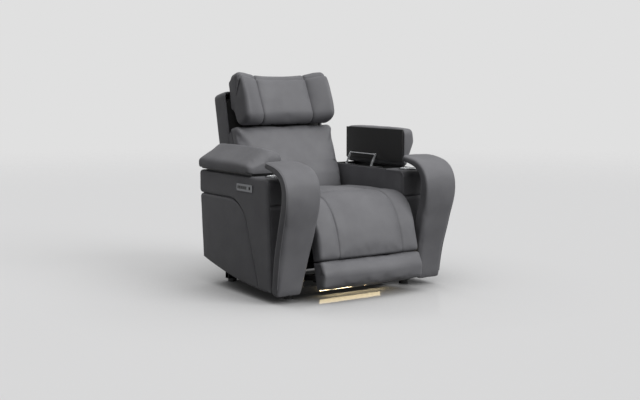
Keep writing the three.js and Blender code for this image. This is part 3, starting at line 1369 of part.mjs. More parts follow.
seat.add(blackNode('base_frame', baseFrame()));
seat.add(steelNode('light_channel', lightChannel()), node('light_diffuser', lightDiffuser(), '#f2e6c4', 0.4));
seat.add(blackNode('power_unit', powerUnit()));
seat.add(steelNode('side_plate_left', sidePlate()), steelNode('side_plate_right', mirrored(sidePlate())));
seat.add(steelNode('cross_tube', crossTube(rearTubePlace)), steelNode('drive_tube', driveTube()));
seat.add(steelNode('front_link_left', frontLink()), steelNode('front_link_right', mirrored(frontLink())));
seat.add(steelNode('actuator_rail', actuatorRail()), steelNode('actuator_carriage', actuatorCarriage()));
seat.add(blackNode('actuator_motor', actuatorMotor()), blackNode('back_motor', backMotor()));
seat.add(blackNode('seat_deck', seatDeck()), leatherNode('seat_cushion', seatCushion()));
seat.add(leatherNode('seat_front_roll', seatFrontRoll()));

const legFrame = leaning(legPivot, legLean);
legFrame.add(blackNode('leg_board', legBoard()), leatherNode('leg_pad', legPad()));
legFrame.add(blackNode('footrest_board', footrestBoard()), leatherNode('footrest_pad', footrestPad()));
seat.add(legFrame);

const backFrame = leaning(backPivot, backLean);
backFrame.add(leatherNode('back_shell', backShell()), blackNode('back_liner', backLiner()));
backFrame.add(leatherNode('back_cushion', backCushion()), steelNode('back_bracket_left', backBracket()));
backFrame.add(steelNode('back_bracket_right', mirrored(backBracket())));
backFrame.add(steelNode('headrest_bracket', headBracket()), blackNode('headrest_plate', headPlate()));
backFrame.add(leatherNode('headrest_cushion', headCushion()));
seat.add(backFrame);

export default seat;
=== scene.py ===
# A power recliner seat for a cinema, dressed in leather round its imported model.
# Blender's unit here is the metre; shapes are drawn in millimetres and turned into metres in mesh_from().
# +X is the sitter's left, -Y the front and +Z up. The left arm's lid stands open.
import json
import math

import bmesh
import bpy
import numpy as np
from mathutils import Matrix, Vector, noise
from mathutils.bvhtree import BVHTree
from mathutils.geometry import delaunay_2d_cdt


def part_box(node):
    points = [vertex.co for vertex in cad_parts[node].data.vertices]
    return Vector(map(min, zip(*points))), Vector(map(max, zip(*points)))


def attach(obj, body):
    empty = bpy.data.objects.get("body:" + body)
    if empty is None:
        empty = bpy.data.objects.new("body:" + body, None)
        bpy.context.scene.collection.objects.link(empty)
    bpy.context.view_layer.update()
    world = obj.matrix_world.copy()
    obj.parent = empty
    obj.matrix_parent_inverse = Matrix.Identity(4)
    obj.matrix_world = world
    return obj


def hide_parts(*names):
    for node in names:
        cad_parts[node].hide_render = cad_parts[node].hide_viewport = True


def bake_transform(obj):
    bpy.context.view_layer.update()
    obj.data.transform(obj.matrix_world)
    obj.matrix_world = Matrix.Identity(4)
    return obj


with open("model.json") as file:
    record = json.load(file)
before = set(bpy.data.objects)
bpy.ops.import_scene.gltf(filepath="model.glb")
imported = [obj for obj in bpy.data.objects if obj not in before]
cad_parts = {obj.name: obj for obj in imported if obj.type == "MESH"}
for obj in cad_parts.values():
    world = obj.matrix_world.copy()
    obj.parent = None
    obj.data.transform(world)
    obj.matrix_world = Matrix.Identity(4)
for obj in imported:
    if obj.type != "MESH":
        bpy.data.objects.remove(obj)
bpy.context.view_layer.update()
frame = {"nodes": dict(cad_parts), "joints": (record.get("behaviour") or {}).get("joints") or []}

MM = 0.001
SIDES = {"right": -1, "left": 1}
JOINTS = {joint["name"]: joint for joint in frame["joints"]}


def box_mm(name):
    """Lowest and highest corner of a CAD node in millimetres"""
    low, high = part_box(name)
    return np.array(low) / MM, np.array(high) / MM


def joint_mm(name):
    """Depth and height of a joint's axis in millimetres"""
    return np.array(JOINTS[name]["pos_m"][1:]) / MM


# Sizes taken from the frame
SEAT_LOW, SEAT_HIGH = box_mm("seat_cushion")
LEG_LOW, LEG_HIGH = box_mm("leg_pad")
ARM_LOW, ARM_HIGH = box_mm("arm_box_left")
LEG_PIVOT = joint_mm("leg_rest_lift")
BACK_PIVOT = joint_mm("back_recline")
ARM_INNER = ARM_LOW[0]
ARM_OUTER = box_mm("arm_outer_panel_upper_left")[1][0]
ARM_TOP = ARM_HIGH[2]
BACK_LEAN = math.radians(12)
LEG_LEAN = math.radians(12.9)
FIT_GAP = 0.3

# Leather and seams
SEAM_DEPTH = 5
SEAM_WIDTH = 5
STITCH_PITCH = 6
STITCH_LENGTH = 4
STITCH_THICKNESS = 0.9
STITCH_OFFSET = 6
SPACING = 11  # of the mesh on padded pieces
FABRIC = {"quality": 6, "mass": 0.5, "tension_stiffness": 22, "compression_stiffness": 22,
          "shear_stiffness": 8, "bending_stiffness": 2.5, "tension_damping": 8, "use_pressure": True,
          "vertex_group_mass": "sewn"}
CLOTH_FRAMES = 20
CAP_SHARES = (0.93, 0.8, 0.6, 0.35)  # of the rings that close a padded end


# Outlines in two directions


def rounded(corners, steps=6):
    """Points through corners (a, b, radius): each radius becomes an arc, limited by its two sides"""
    points = []
    for i, (a, b, radius) in enumerate(corners):
        corner = np.array((a, b), float)
        if not radius:
            points.append(corner)
            continue
        back = np.array(corners[i - 1][:2], float) - corner
        on = np.array(corners[(i + 1) % len(corners)][:2], float) - corner
        room = min(np.linalg.norm(back), np.linalg.norm(on)) / 2
        back /= np.linalg.norm(back)
        on /= np.linalg.norm(on)
        half = math.acos(np.clip(back @ on, -1, 1)) / 2
        reach = min(radius / math.tan(half), room)
        real = reach * math.tan(half)
        middle = corner + (back + on) / np.linalg.norm(back + on) * real / math.sin(half)
        first, last = [math.atan2(*(corner + way * reach - middle)[::-1]) for way in (back, on)]
        turn = math.remainder(last - first, 2 * math.pi)
        for angle in first + turn * np.arange(steps + 1) / steps:
            points.append(middle + real * np.array((math.cos(angle), math.sin(angle))))
    return np.array(points)


def filled(outline, pitch=SPACING):
    """The closed outline with extra points on its long stretches"""
    points = []
    for a, b in zip(outline, np.roll(outline, -1, 0)):
        steps = max(1, round(np.linalg.norm(b - a) / pitch))
        points.extend(a + (b - a) * k / steps for k in range(steps))
    return np.array(points)


def evenly(line, count):
    """The line as count points with even steps between them"""
    along = np.concatenate([[0], np.cumsum(np.linalg.norm(np.diff(line, axis=0), axis=1))])
    places = np.linspace(0, along[-1], count)
    return np.stack([np.interp(places, along, line[:, k]) for k in range(line.shape[1])], 1)


def smooth_through(points, places):
    """Catmull-Rom through points, read at places between 0 and 1 of the way"""
    ends = np.vstack([2 * points[0] - points[1], points, 2 * points[-1] - points[-2]])
    read = []
    for place in np.asarray(places) * (len(points) - 1):
        i = min(int(place + 1e-9), len(points) - 2)
        t = place - i
        p0, p1, p2, p3 = ends[i: i + 4]
        read.append(0.5 * (2 * p1 + (p2 - p0) * t + (2 * p0 - 5 * p1 + 4 * p2 - p3) * t * t
                           + (3 * p1 - p0 - 3 * p2 + p3) * t ** 3))
    return np.array(read)


def spline(points, count):
    """A smooth line through points, as count points evenly spaced along it"""
    return evenly(smooth_through(points, np.linspace(0, 1, 24 * (len(points) - 1) + 1)), count)


def signed_area(outline):
    a, b = outline[:, 0], outline[:, 1]
    return 0.5 * np.sum(a * np.roll(b, -1) - np.roll(a, -1) * b)


def inwards(outline):
    """Inward directions of a closed outline, one for each point"""
    before = outline - np.roll(outline, 1, 0)
    after = np.roll(outline, -1, 0) - outline
    along = sum(way / np.linalg.norm(way, axis=1)[:, None] for way in (before, after))
    along /= np.linalg.norm(along, axis=1)[:, None]
    return np.stack([-along[:, 1], along[:, 0]], 1) * np.sign(signed_area(outline))


def directions(line):
    """Unit directions along an open line, one for each point"""
    along = np.gradient(line, axis=0)
    return along / np.linalg.norm(along, axis=1)[:, None]


def calmed(line, rounds):
    """The line with its inner points drawn towards their neighbours, round after round"""
    for _ in range(rounds):
        line[1:-1] = (line[:-2] + 2 * line[1:-1] + line[2:]) / 4
    return line


def smooth_step(value, low, high):
    t = np.clip((value - low) / (high - low), 0, 1)
    return t * t * (3 - 2 * t)


# Meshes


def mesh_from(name, points, faces):
    """A mesh object through points in millimetres"""
    mesh = bpy.data.meshes.new(name)
    corners = [tuple(p) for p in np.asarray(points, float) * MM]
    mesh.from_pydata(corners, [], [list(map(int, f)) for f in faces])
    mesh.validate()
    mesh.shade_smooth()
    return placed(name, mesh)


def placed(name, data):
    """A new object in the scene"""
    piece = bpy.data.objects.new(name, data)
    bpy.context.scene.collection.objects.link(piece)
    return piece


def coords(piece, kind="co"):
    """Places or normals of the piece's vertices"""
    flat = np.zeros(len(piece.data.vertices) * 3, np.float32)
    piece.data.vertices.foreach_get(kind, flat)
    return flat.reshape(-1, 3).astype(float)


def set_coords(piece, points):
    piece.data.vertices.foreach_set("co", np.asarray(points, np.float32).ravel())
    piece.data.update()


def face_outwards(points, faces):
    """The faces turned so that the closed body's volume is above zero"""
    points = np.asarray(points, float)
    volume = 0
    for f in faces:
        for k in range(1, len(f) - 1):
            volume += points[f[0]] @ np.cross(points[f[k]], points[f[k + 1]])
    return faces if volume > 0 else [f[::-1] for f in faces]


def wall(rows, count):
    """Faces between closed rings of count points that follow one another"""
    faces = []
    for i in range(rows - 1):
        for j in range(count):
            a, b = i * count + j, i * count + (j + 1) % count
            faces.append([a, b, b + count, a + count])
    return faces


def loft(name, rings, caps=CAP_SHARES):
    """A closed body through rings of equal length. Its ends are closed by smaller and smaller rings, or by
    flat faces where no caps are given"""
    rings = np.asarray(rings, float)
    count = rings.shape[1]
    if not caps:
        last = (len(rings) - 1) * count
        faces = [list(range(count))[::-1], list(range(last, last + count)), *wall(len(rings), count)]
        points = rings.reshape(-1, 3)
        return mesh_from(name, points, face_outwards(points, faces))
    first, end = [[ring.mean(0) + (ring - ring.mean(0)) * share for share in caps] for ring in rings[[0, -1]]]
    every = np.array([*first[::-1], *rings, *end])
    faces = wall(len(every), count)
    points = list(every.reshape(-1, 3))
    for row, flip in ((0, True), (len(every) - 1, False)):
        centre = len(points)
        points.append(every[row].mean(0))
        for j in range(count):
            face = [row * count + j, row * count + (j + 1) % count, centre]
            faces.append(face[::-1] if flip else face)
    return mesh_from(name, points, face_outwards(points, faces))


def ring_index(ring, count):
    """The first vertex of a ring that was given to loft()"""
    return (ring + len(CAP_SHARES)) * count


def modified(piece, *steps):
    """The piece's mesh after modifiers, each given as its kind and settings"""
    for kind, settings in steps:
        modifier = piece.modifiers.new(kind, kind)
        for key, value in settings.items():
            setattr(modifier, key, value)
    evaluated = piece.evaluated_get(bpy.context.evaluated_depsgraph_get())
    mesh = bpy.data.meshes.new_from_object(evaluated)
    piece.modifiers.clear()
    piece.data = mesh
    mesh.name = piece.name
    return piece


def cut(piece, *tools):
    modified(piece, *[("BOOLEAN", {"operation": "DIFFERENCE", "solver": "EXACT", "object": tool})
                      for tool in tools])
    for tool in tools:
        bpy.data.objects.remove(tool)
    return piece


def sharp_past(piece, angle):
    """Smooth shading, except where two faces meet at more than the angle in degrees"""
    piece.data.shade_smooth()
    piece.data.set_sharp_from_angle(angle=math.radians(angle))
    return piece


def mirrored_copy(piece, name):
    faces = [list(f.vertices)[::-1] for f in piece.data.polygons]
    return mesh_from(name, coords(piece) * (-1, 1, 1) / MM, faces)


def inflated(piece, held, limit, pressure, slack):
    """The skin swells as cloth over its filling. held is 1 where it is sewn or glued down and 0 where it
    is free, and no point moves by more than limit in millimetres"""
    rest = coords(piece)
    sewn = piece.vertex_groups.new(name="sewn")
    for index, weight in enumerate(held):
        if weight > 0:
            sewn.add([index], float(weight), "REPLACE")
    cloth = piece.modifiers.new("Skin", "CLOTH")
    for key, value in FABRIC.items():
        setattr(cloth.settings, key, value)
    cloth.settings.uniform_pressure_force = pressure
    cloth.settings.shrink_min = -slack
    cloth.settings.effector_weights.gravity = 0
    cloth.point_cache.frame_start = 1
    cloth.point_cache.frame_end = CLOTH_FRAMES
    scene = bpy.context.scene
    for moment in range(1, CLOTH_FRAMES + 1):
        scene.frame_set(moment)
    evaluated = piece.evaluated_get(bpy.context.evaluated_depsgraph_get())
    step = np.array([v.co for v in evaluated.data.vertices], float) - rest
    length = np.linalg.norm(step, axis=1)
    most = limit * MM
    share = np.where(length > 1e-9, most * np.tanh(length / most) / np.maximum(length, 1e-9), 0)
    piece.modifiers.clear()
    piece.vertex_groups.clear()
    scene.frame_set(1)
    set_coords(piece, rest + step * share[:, None])


def creased(piece, amount, size, seed):
    """Broad, shallow unevenness of leather over foam: amount and size in millimetres"""
    points = coords(piece)
    shift = Vector((seed, 2 * seed, 3 * seed))
    raise_by = np.array([noise.fractal(Vector(p) / (size * MM) + shift, 0.8, 2.0, 2) for p in points])
    set_coords(piece, points + coords(piece, "normal") * (raise_by * amount * MM)[:, None])


def softened(piece, held, limit, pressure, slack, creases):
    """The padded piece after it has swollen, with a finer mesh and its creases"""
    inflated(piece, held, limit, pressure, slack)
    modified(piece, ("SUBSURF", {"levels": 1, "render_levels": 1}))
    creased(piece, *creases)


# Sections of padded pieces


def stations(half_width, edge_radius, seams=(), pitch=SPACING):
    """Places across a padded piece: close together at its rounded ends and beside its seams"""
    flat = half_width - edge_radius
    places = {0.0}
    for seam in seams:
        places.update(seam + shift for shift in (-SEAM_WIDTH, -SEAM_WIDTH / 3, 0, SEAM_WIDTH / 3, SEAM_WIDTH))
    for k in range(0, 7):
        places.add(flat + edge_radius * math.sin(math.pi / 2 * k / 6))
    for x in np.linspace(0, flat, max(2, round(flat / pitch)), endpoint=False):
        if all(abs(x - other) > pitch * 0.55 for other in places):
            places.add(float(x))
    half = sorted(places)
    return [-x for x in half[:0:-1]] + half


def end_draw(x, half_width, edge_radius):
    """How far a rounded end draws in at x"""
    past = min(max((abs(x) - half_width + edge_radius) / edge_radius, 0), 1)
    return edge_radius * (1 - math.sqrt(1 - past * past))


def corner_draw(distance, radius):
    """How far a rounded corner draws in at a distance from its tip"""
    return end_draw(max(0.0, radius - distance), radius, radius)


def seam_draw(x, seam, depth=SEAM_DEPTH):
    """How far a pair of seams draws in at x"""
    return depth * math.exp(-((abs(x) - seam) / (SEAM_WIDTH * 0.8)) ** 2)


def beside(x, seam):
    """Whether x lies in the stitched strip of a pair of seams"""
    return abs(abs(x) - seam) <= SEAM_WIDTH / 3


def padded_across(name, outline, firm, half_width, edge_radius, crown, place):
    """A cushion: a closed outline of depth and height swept across X. firm says which points rest on a
    board and so keep their place, and place turns (x, depth, height) into the model's frame"""
    inward = inwards(outline)
    soft = np.array([0.0 if firm(p) else 1.0 for p in outline])
    columns = stations(half_width, edge_radius)
    rings = []
    for x in columns:
        give = end_draw(x, half_width, edge_radius) + crown * (x / half_width) ** 2
        rings.append([place(x, a, b) for a, b in outline + inward * (soft * give)[:, None]])
    caps = np.tile(1 - soft, len(CAP_SHARES)) * 0.5
    held = np.concatenate([caps, np.tile(1 - soft, len(columns)), caps, [0, 0]])
    return loft(name, rings), held


def laid_on(piece, line, offset):
    """A line in millimetres laid on the piece's surface, in metres"""
    tree = BVHTree.FromObject(piece, bpy.context.evaluated_depsgraph_get())
    path = []
    for point in np.asarray(line, float) * MM:
        spot, normal, _, _ = tree.find_nearest(Vector(point))
        path.append(spot + normal * offset * MM)
    return path


# Materials


def linear(code):
    """An sRGB hex colour as linear RGBA"""
    values = [int(code[i:i + 2], 16) / 255 for i in (1, 3, 5)]
    return (*[v / 12.92 if v <= 0.04045 else ((v + 0.055) / 1.055) ** 2.4 for v in values], 1)


def add(tree, kind, settings=None, inputs=None, links=None):
    """A shader or geometry node with its settings, its input values and its links"""
    made = tree.nodes.new(kind)
    for key, value in (settings or {}).items():
        setattr(made, key, value)
    for key, value in (inputs or {}).items():
        made.inputs[key].default_value = value
    for key, (source, output) in (links or {}).items():
        tree.links.new(source.outputs[output], made.inputs[key])
    return made


RANGE_ENDS = ("From Min", "From Max", "To Min", "To Max")


def emptied(block):
    """The node tree of a material or world, without nodes"""
    block.use_nodes = True
    block.node_tree.nodes.clear()
    return block.node_tree


def material(name, pattern=None, **values):
    """A material with one Principled shader whose sockets have the given values. pattern adds nodes that
    read the object's own coordinates, and returns links for the shader's sockets"""
    made = bpy.data.materials.new(name)
    tree = emptied(made)
    links = pattern(tree, {"Vector": (add(tree, "ShaderNodeTexCoord"), "Object")}) if pattern else {}
    shader = add(tree, "ShaderNodeBsdfPrincipled", inputs=values, links=links)
    add(tree, "ShaderNodeOutputMaterial", links={"Surface": (shader, "BSDF")})
    return made


def surface(tree, height, bump, tone=None, tones=None, shine=None, spread=None, span=(0, 1)):
    """Links for a shader: the height lifts the surface by bump (strength, millimetres), the tone runs
    between two colours, and shine spreads the roughness between two values"""
    strength, distance = bump
    relief = add(tree, "ShaderNodeBump", inputs={"Strength": strength, "Distance": distance * MM},
                 links={"Height": height})
    links = {"Normal": (relief, "Normal")}
    if tones:
        ramp = add(tree, "ShaderNodeValToRGB", links={"Fac": tone or height})
        for element, place, code in zip(ramp.color_ramp.elements, (0.3, 0.7), tones):
            element.position = place
            element.color = linear(code)
        links["Base Color"] = (ramp, "Color")
    if spread:
        ends = dict(zip(RANGE_ENDS, (*span, *spread)))
        gloss = add(tree, "ShaderNodeMapRange", None, ends, {"Value": shine or height})
        links["Roughness"] = (gloss, "Result")
    return links


def leather(name, tones, rough, grain=2.6):
    """Corrected-grain cowhide, pigmented and plated: a soft pebble, broad tonal shifts, a low satin sheen.
    A real pebble is about 1 mm; it is drawn larger so that it shows"""
    def hide(tree, where):
        pebble = add(tree, "ShaderNodeTexVoronoi", {"feature": "SMOOTH_F1"},
                     {"Scale": 1 / (grain * MM), "Smoothness": 0.6}, where)
        fold, broad = [add(tree, "ShaderNodeTexNoise", None,
                           {"Scale": 1 / (size * MM), "Detail": detail, "Roughness": roughness}, where)
                       for size, detail, roughness in ((9, 5, 0.6), (140, 3, 0.55))]
        height = add(tree, "ShaderNodeMath", {"operation": "MULTIPLY_ADD"}, {1: 0.35},
                     {0: (fold, "Fac"), 2: (pebble, "Distance")})
        return surface(tree, (height, "Value"), (0.35, 0.5), (broad, "Fac"), tones, (fold, "Fac"),
                       (rough - 0.05, rough + 0.06), (0.3, 0.7))
    return material(name, hide, **{"Roughness": rough, "IOR": 1.46, "Specular IOR Level": 0.28})


def textured(name, tones, rough, size, detail, bump):
    """A plastic or paint whose fine unevenness is size wide in millimetres"""
    def grit(tree, where):
        grains = add(tree, "ShaderNodeTexNoise", None, {"Scale": 1 / (size * MM), "Detail": detail}, where)
        return surface(tree, (grains, "Fac"), bump, tones=tones)
    return material(name, grit, **{"Roughness": rough, "IOR": 1.5})


def moulded_plastic(name, tones, rough=0.42):
    """Injection-moulded ABS with a fine spark-eroded texture"""
    return textured(name, tones, rough, 1.2, 3, (0.3, 0.12))


def coated_steel(name, tones):
    """Black powder coat over steel: a slight orange peel"""
    return textured(name, tones, 0.45, 2.2, 2, (0.35, 0.15))


def woven_cloth(name, tones, thread=1.4):
    """Black polyester dust cloth: two crossing sets of thread, drawn about twice as coarse as they are"""
    def weave(tree, where):
        warp, weft = [add(tree, "ShaderNodeTexWave", {"bands_direction": way, "wave_profile": "SIN"},
                          {"Scale": 1 / (thread * MM * 2 * math.pi), "Distortion": 0.3}, where)
                      for way in ("X", "Z")]
        crossing = add(tree, "ShaderNodeMath", {"operation": "MAXIMUM"},
                       links={0: (warp, "Fac"), 1: (weft, "Fac")})
        return surface(tree, (crossing, "Value"), (0.4, 0.3), tones=tones)
    return material(name, weave, **{"Roughness": 0.9, "Sheen Weight": 0.08, "Sheen Roughness": 0.5})


def bare_metal(name, base, rough, size, bump, spread):
    """Metal whose gloss clouds over lengths of size in millimetres along X, Y and Z"""
    def clouds(tree, where):
        squeeze = add(tree, "ShaderNodeMapping", None, {"Scale": [1 / (s * MM) for s in size]}, where)
        cloud = add(tree, "ShaderNodeTexNoise", None, {"Scale": 1, "Detail": 4}, {"Vector": (squeeze, 0)})
        return surface(tree, (cloud, "Fac"), bump, spread=spread)
    return material(name, clouds, **{"Metallic": 1.0, "Roughness": rough, "Base Color": linear(base)})


def brushed_metal(name, base, rough):
    """Metal with a drawn finish: fine scratches run along its depth"""
    return bare_metal(name, base, rough, (0.6, 30, 0.6), (0.25, 0.05), (rough - 0.1, rough + 0.14))


def plated_steel(name, base, rough):
    """Zinc or chromium over pressed steel: bright, with faint clouding"""
    return bare_metal(name, base, rough, (22, 22, 22), (0.08, 0.1), (rough * 0.6, rough * 1.8))


def glowing_diffuser(name, colour, strength):
    """Opal polycarbonate over warm white lamps, which show as a faint row of brighter spots"""
    def lamps(tree, where):
        row = add(tree, "ShaderNodeTexWave", {"bands_direction": "X"}, {"Scale": 1 / (16 * MM * 2 * math.pi)},
                  where)
        level = add(tree, "ShaderNodeMapRange", None, {"To Min": strength * 0.85, "To Max": strength},
                    {"Value": (row, "Fac")})
        return {"Emission Strength": (level, "Result")}
    return material(name, lamps, **{"Base Color": linear("#f3ead2"), "Roughness": 0.4,
                                    "Emission Color": linear(colour)})


CHARCOAL = leather("charcoal_leather_plated", ("#626265", "#6d6d70"), 0.56)
THREAD = material("bonded_nylon_thread", **{"Base Color": linear("#5c5c5f"), "Roughness": 0.6})
BLACK_PLASTIC = moulded_plastic("black_abs_moulded", ("#191919", "#202020"))
BLACK_BOARD = moulded_plastic("black_vinyl_on_board", ("#1c1c1c", "#242424"), 0.55)
BLACK_CLOTH = woven_cloth("black_polyester_dust_cloth", ("#0c0c0c", "#151515"))
BRIGHT_STEEL = plated_steel("steel_zinc_plated", "#e4e6e8", 0.5)
CHROME = plated_steel("brass_chromium_plated", "#d5d7d9", 0.06)
BRUSHED = brushed_metal("aluminium_brushed_anodised", "#717274", 0.4)
BLACK_STEEL = coated_steel("steel_powder_coated_black", ("#141415", "#1b1b1c"))
DIFFUSER = glowing_diffuser("opal_polycarbonate_lit", "#ffe8b6", 11.0)


def finished(piece, body, finish, slot_name, *nodes):
    """The piece gets its material, rides on its body and stands for its CAD nodes"""
    piece.data.materials.clear()
    piece.data.materials.append(finish)
    if nodes:
        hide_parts(*nodes)
    if body:
        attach(piece, body)
    return piece


def upholstered(piece, body, fill, *nodes):
    """The piece gets its leather. fill, the share of it that is filled, is not used"""
    finished(piece, body, CHARCOAL, "charcoal_leather", *nodes)


# Stitches, by geometry nodes along seam curves

STITCH_INPUTS = (("Geometry", "Geometry", None), ("Pitch", "Float", STITCH_PITCH * MM),
                 ("Length", "Float", STITCH_LENGTH * MM), ("Thickness", "Float", STITCH_THICKNESS * MM),
                 ("Seed", "Int", 7), ("Thread", "Material", THREAD))


def stitch_tree():
    """Short capsules of thread, evenly spaced along a curve"""
    tree = bpy.data.node_groups.new("Stitches", "GeometryNodeTree")
    for name, kind, _ in STITCH_INPUTS:
        tree.interface.new_socket(name, in_out="INPUT", socket_type="NodeSocket" + kind)
    tree.interface.new_socket("Geometry", in_out="OUTPUT", socket_type="NodeSocketGeometry")
    source = add(tree, "NodeGroupInput")
    spots = add(tree, "GeometryNodeCurveToPoints", {"mode": "LENGTH"}, None,
                {"Curve": (source, "Geometry"), "Length": (source, "Pitch")})
    bead = add(tree, "GeometryNodeMeshUVSphere", None, {"Segments": 6, "Rings": 4, "Radius": 0.5})
    size = add(tree, "ShaderNodeCombineXYZ", None, None,
               {"X": (source, "Thickness"), "Y": (source, "Thickness"), "Z": (source, "Length")})
    shaped = add(tree, "GeometryNodeTransform", None, None,
                 {"Geometry": (bead, "Mesh"), "Scale": (size, "Vector")})
    uneven = add(tree, "FunctionNodeRandomValue", {"data_type": "FLOAT"}, {2: 0.9, 3: 1.08},
                 {"Seed": (source, "Seed")})
    stitches = add(tree, "GeometryNodeInstanceOnPoints", None, None,
                   {"Points": (spots, "Points"), "Instance": (shaped, "Geometry"),
                    "Rotation": (spots, "Rotation"), "Scale": (uneven, 1)})
    solid = add(tree, "GeometryNodeRealizeInstances", None, None, {"Geometry": (stitches, "Instances")})
    threaded = add(tree, "GeometryNodeSetMaterial", None, None,
                   {"Geometry": (solid, 0), "Material": (source, "Thread")})
    add(tree, "NodeGroupOutput", links={"Geometry": (threaded, "Geometry")})
    return tree


STITCHES = stitch_tree()


def stitched(name, paths, body):
    """One mesh of stitches along paths in metres"""
    curve = bpy.data.curves.new(name, "CURVE")
    curve.dimensions = "3D"
    for path in paths:
        line = curve.splines.new("POLY")
        line.points.add(len(path) - 1)
        line.points.foreach_set("co", np.array([(*p, 1) for p in path], np.float32).ravel())
    source = placed(name + "_path", curve)
    run = source.modifiers.new("Stitches", "NODES")
    run.node_group = STITCHES
    values = {key: value for key, _, value in STITCH_INPUTS if value is not None}
    for item in STITCHES.interface.items_tree:
        if item.in_out == "INPUT" and item.name in values:
            run[item.identifier] = values[item.name]
    evaluated = source.evaluated_get(bpy.context.evaluated_depsgraph_get())
    piece = placed(name, bpy.data.meshes.new_from_object(evaluated))
    bpy.data.objects.remove(source)
    piece.data.shade_smooth()
    return finished(piece, body, THREAD, "charcoal_leather")


def sew(piece, lines, body):
    """Twin rows of topstitch beside seam lines in millimetres, on the piece's surface. Each line comes
    with the direction across it"""
    rows = []
    for line, across in lines:
        for side in (-STITCH_OFFSET, STITCH_OFFSET):
            rows.append(laid_on(piece, np.array(line) + np.array(across) * side, STITCH_THICKNESS / 4))
    return stitched(piece.name + "_stitches", rows, body)


# The back's leaning frame: across, rearwards, and up along the lean

LEAN, RISE = math.sin(BACK_LEAN), math.cos(BACK_LEAN)


def in_back(x, depth, height):
    return (x, BACK_PIVOT[0] + depth * RISE + height * LEAN, BACK_PIVOT[1] - depth * LEAN + height * RISE)


def from_back(depth, height):
    """Depth and height in the back's frame of a place in the model"""
    a, b = depth - BACK_PIVOT[0], height - BACK_PIVOT[1]
    return a * RISE - b * LEAN, a * LEAN + b * RISE


# Seat, front roll and leg rest: one skin from the back of the seat to the seam above the footrest

SEAT_RINGS = 76
SEAT_SEAM = 176
SEAT_EDGE = 18
SEAT_CROWN = 7
SEAT_REAR_ROUND = 30
CROSS_SEAM = -167
CROSS_SEAM_DEPTH = 4.5
LEG_PAD_END = 163
LEG_PAD_BACK = 16.3
LEG_BOARD_PLACES = (22, 75, 125, LEG_PAD_END)  # down from the pivot, where the pad lies on its board
LEG_END_ROUND = 22
SEAT_TOP_LINE = ((40, 9), (-60, 5), (CROSS_SEAM, 1), (-222, 0), (-268, 2), (-318, 19), (-367, 61),
                 (-402, 118), (-424, 183), (-438, 240))  # depth, and how far below the seat's top
SEAT_REAR_FALLS = ((0, 15), (-90, 12))  # from its rear edge, and how far below the seat's top
SEAT_UNDER_LINE = ((40, 0), (-60, 0), (-150, 0), (-200, 0), (-250, 0), (-305, 0), (-338, 4))


def leg_place(down, forward):
    """Depth and height of a point of the leg rest, down from its pivot and forward from it"""
    return (LEG_PIVOT[0] - down * math.sin(LEG_LEAN) - forward * math.cos(LEG_LEAN),
            LEG_PIVOT[1] - down * math.cos(LEG_LEAN) + forward * math.sin(LEG_LEAN))


def seat_section(half, height, columns):
    """A ring across the seat: x and how far it stands out from the underside"""
    top = []
    for x in columns:
        give = end_draw(x, half, SEAT_EDGE) + SEAT_CROWN * (x / half) ** 2 + seam_draw(x, SEAT_SEAM)
        top.append((x, height - give))
    walls = [top[-1][1] * share for share in (0.8, 0.5, 0.2)]
    low = [(x, 0) for x in columns[::-1]]
    low[0], low[-1] = (half - SEAT_EDGE / 3, 0), (SEAT_EDGE / 3 - half, 0)
    return [*top, *[(half, t) for t in walls], *low, *[(-half, t) for t in walls[::-1]]]


def seat_skin():
    top, rear, base = SEAT_HIGH[2], SEAT_HIGH[1], SEAT_LOW[2]
    upper = [*[(rear + a, top - b) for a, b in SEAT_REAR_FALLS], *[(a, top - b) for a, b in SEAT_TOP_LINE],
             (-445, LEG_LOW[2] + 8)]
    lower = [*[(rear + a, base) for a, _ in SEAT_REAR_FALLS], *[(a, base - b) for a, b in SEAT_UNDER_LINE],
             *[leg_place(down, LEG_PAD_BACK) for down in LEG_BOARD_PLACES]]
    both = smooth_through(np.concatenate([upper, lower], 1), np.linspace(0, 1, SEAT_RINGS))
    front, under = both[:, :2], both[:, 2:]
    halves = np.interp(front[:, 1], [LEG_HIGH[2] - 30, top - 40], [LEG_HIGH[0], SEAT_HIGH[0]])
    columns = np.array(stations(SEAT_HIGH[0], SEAT_EDGE, (SEAT_SEAM,)))
    along = np.concatenate([[0], np.cumsum(np.linalg.norm(np.diff(front, axis=0), axis=1))])
    rings = []
    sewn = set()
    for i, half in enumerate(halves):
        out = front[i] - under[i]
        height = np.linalg.norm(out)
        cross = 0
        if front[i][1] > top - 10:
            cross = CROSS_SEAM_DEPTH * math.exp(-((front[i][0] - CROSS_SEAM) / 5) ** 2)
        if cross > 2:
            sewn.add(i)
        ends = corner_draw(along[i], SEAT_REAR_ROUND) + corner_draw(along[-1] - along[i], LEG_END_ROUND)
        section = seat_section(half, height - ends - cross, list(columns * half / SEAT_HIGH[0]))
        rings.append([(x, *(under[i] + out / height * t)) for x, t in section])
    piece = loft("seat_and_leg_rest_skin", rings)
    size = len(rings[0])
    held = np.ones(len(piece.data.vertices))
    for i in range(2, SEAT_RINGS - 2):
        start = ring_index(i, size)
        if i not in sewn:
            held[start:start + len(columns)] = beside(columns, SEAT_SEAM)
    softened(piece, held, 14, 2.8, 0.004, (1.4, 130, 3.1))
    bend = [(a, b) for a, b in front if a < CROSS_SEAM + 0.01]
    lines = [([(x, a, b) for a, b in bend], (1, 0, 0)) for x in (-SEAT_SEAM, SEAT_SEAM)]
    reach = SEAT_HIGH[0] - 22
    lines.append(([(x, CROSS_SEAM, top - 4) for x in np.linspace(-reach, reach, 60)], (0, 1, 0)))
    stitches = sew(piece, lines, None)
    for part in (piece, stitches):
        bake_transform(part)
    upholstered(piece, None, 0.7, "seat_cushion", "seat_front_roll", "leg_pad")


# Footrest: the lower roll

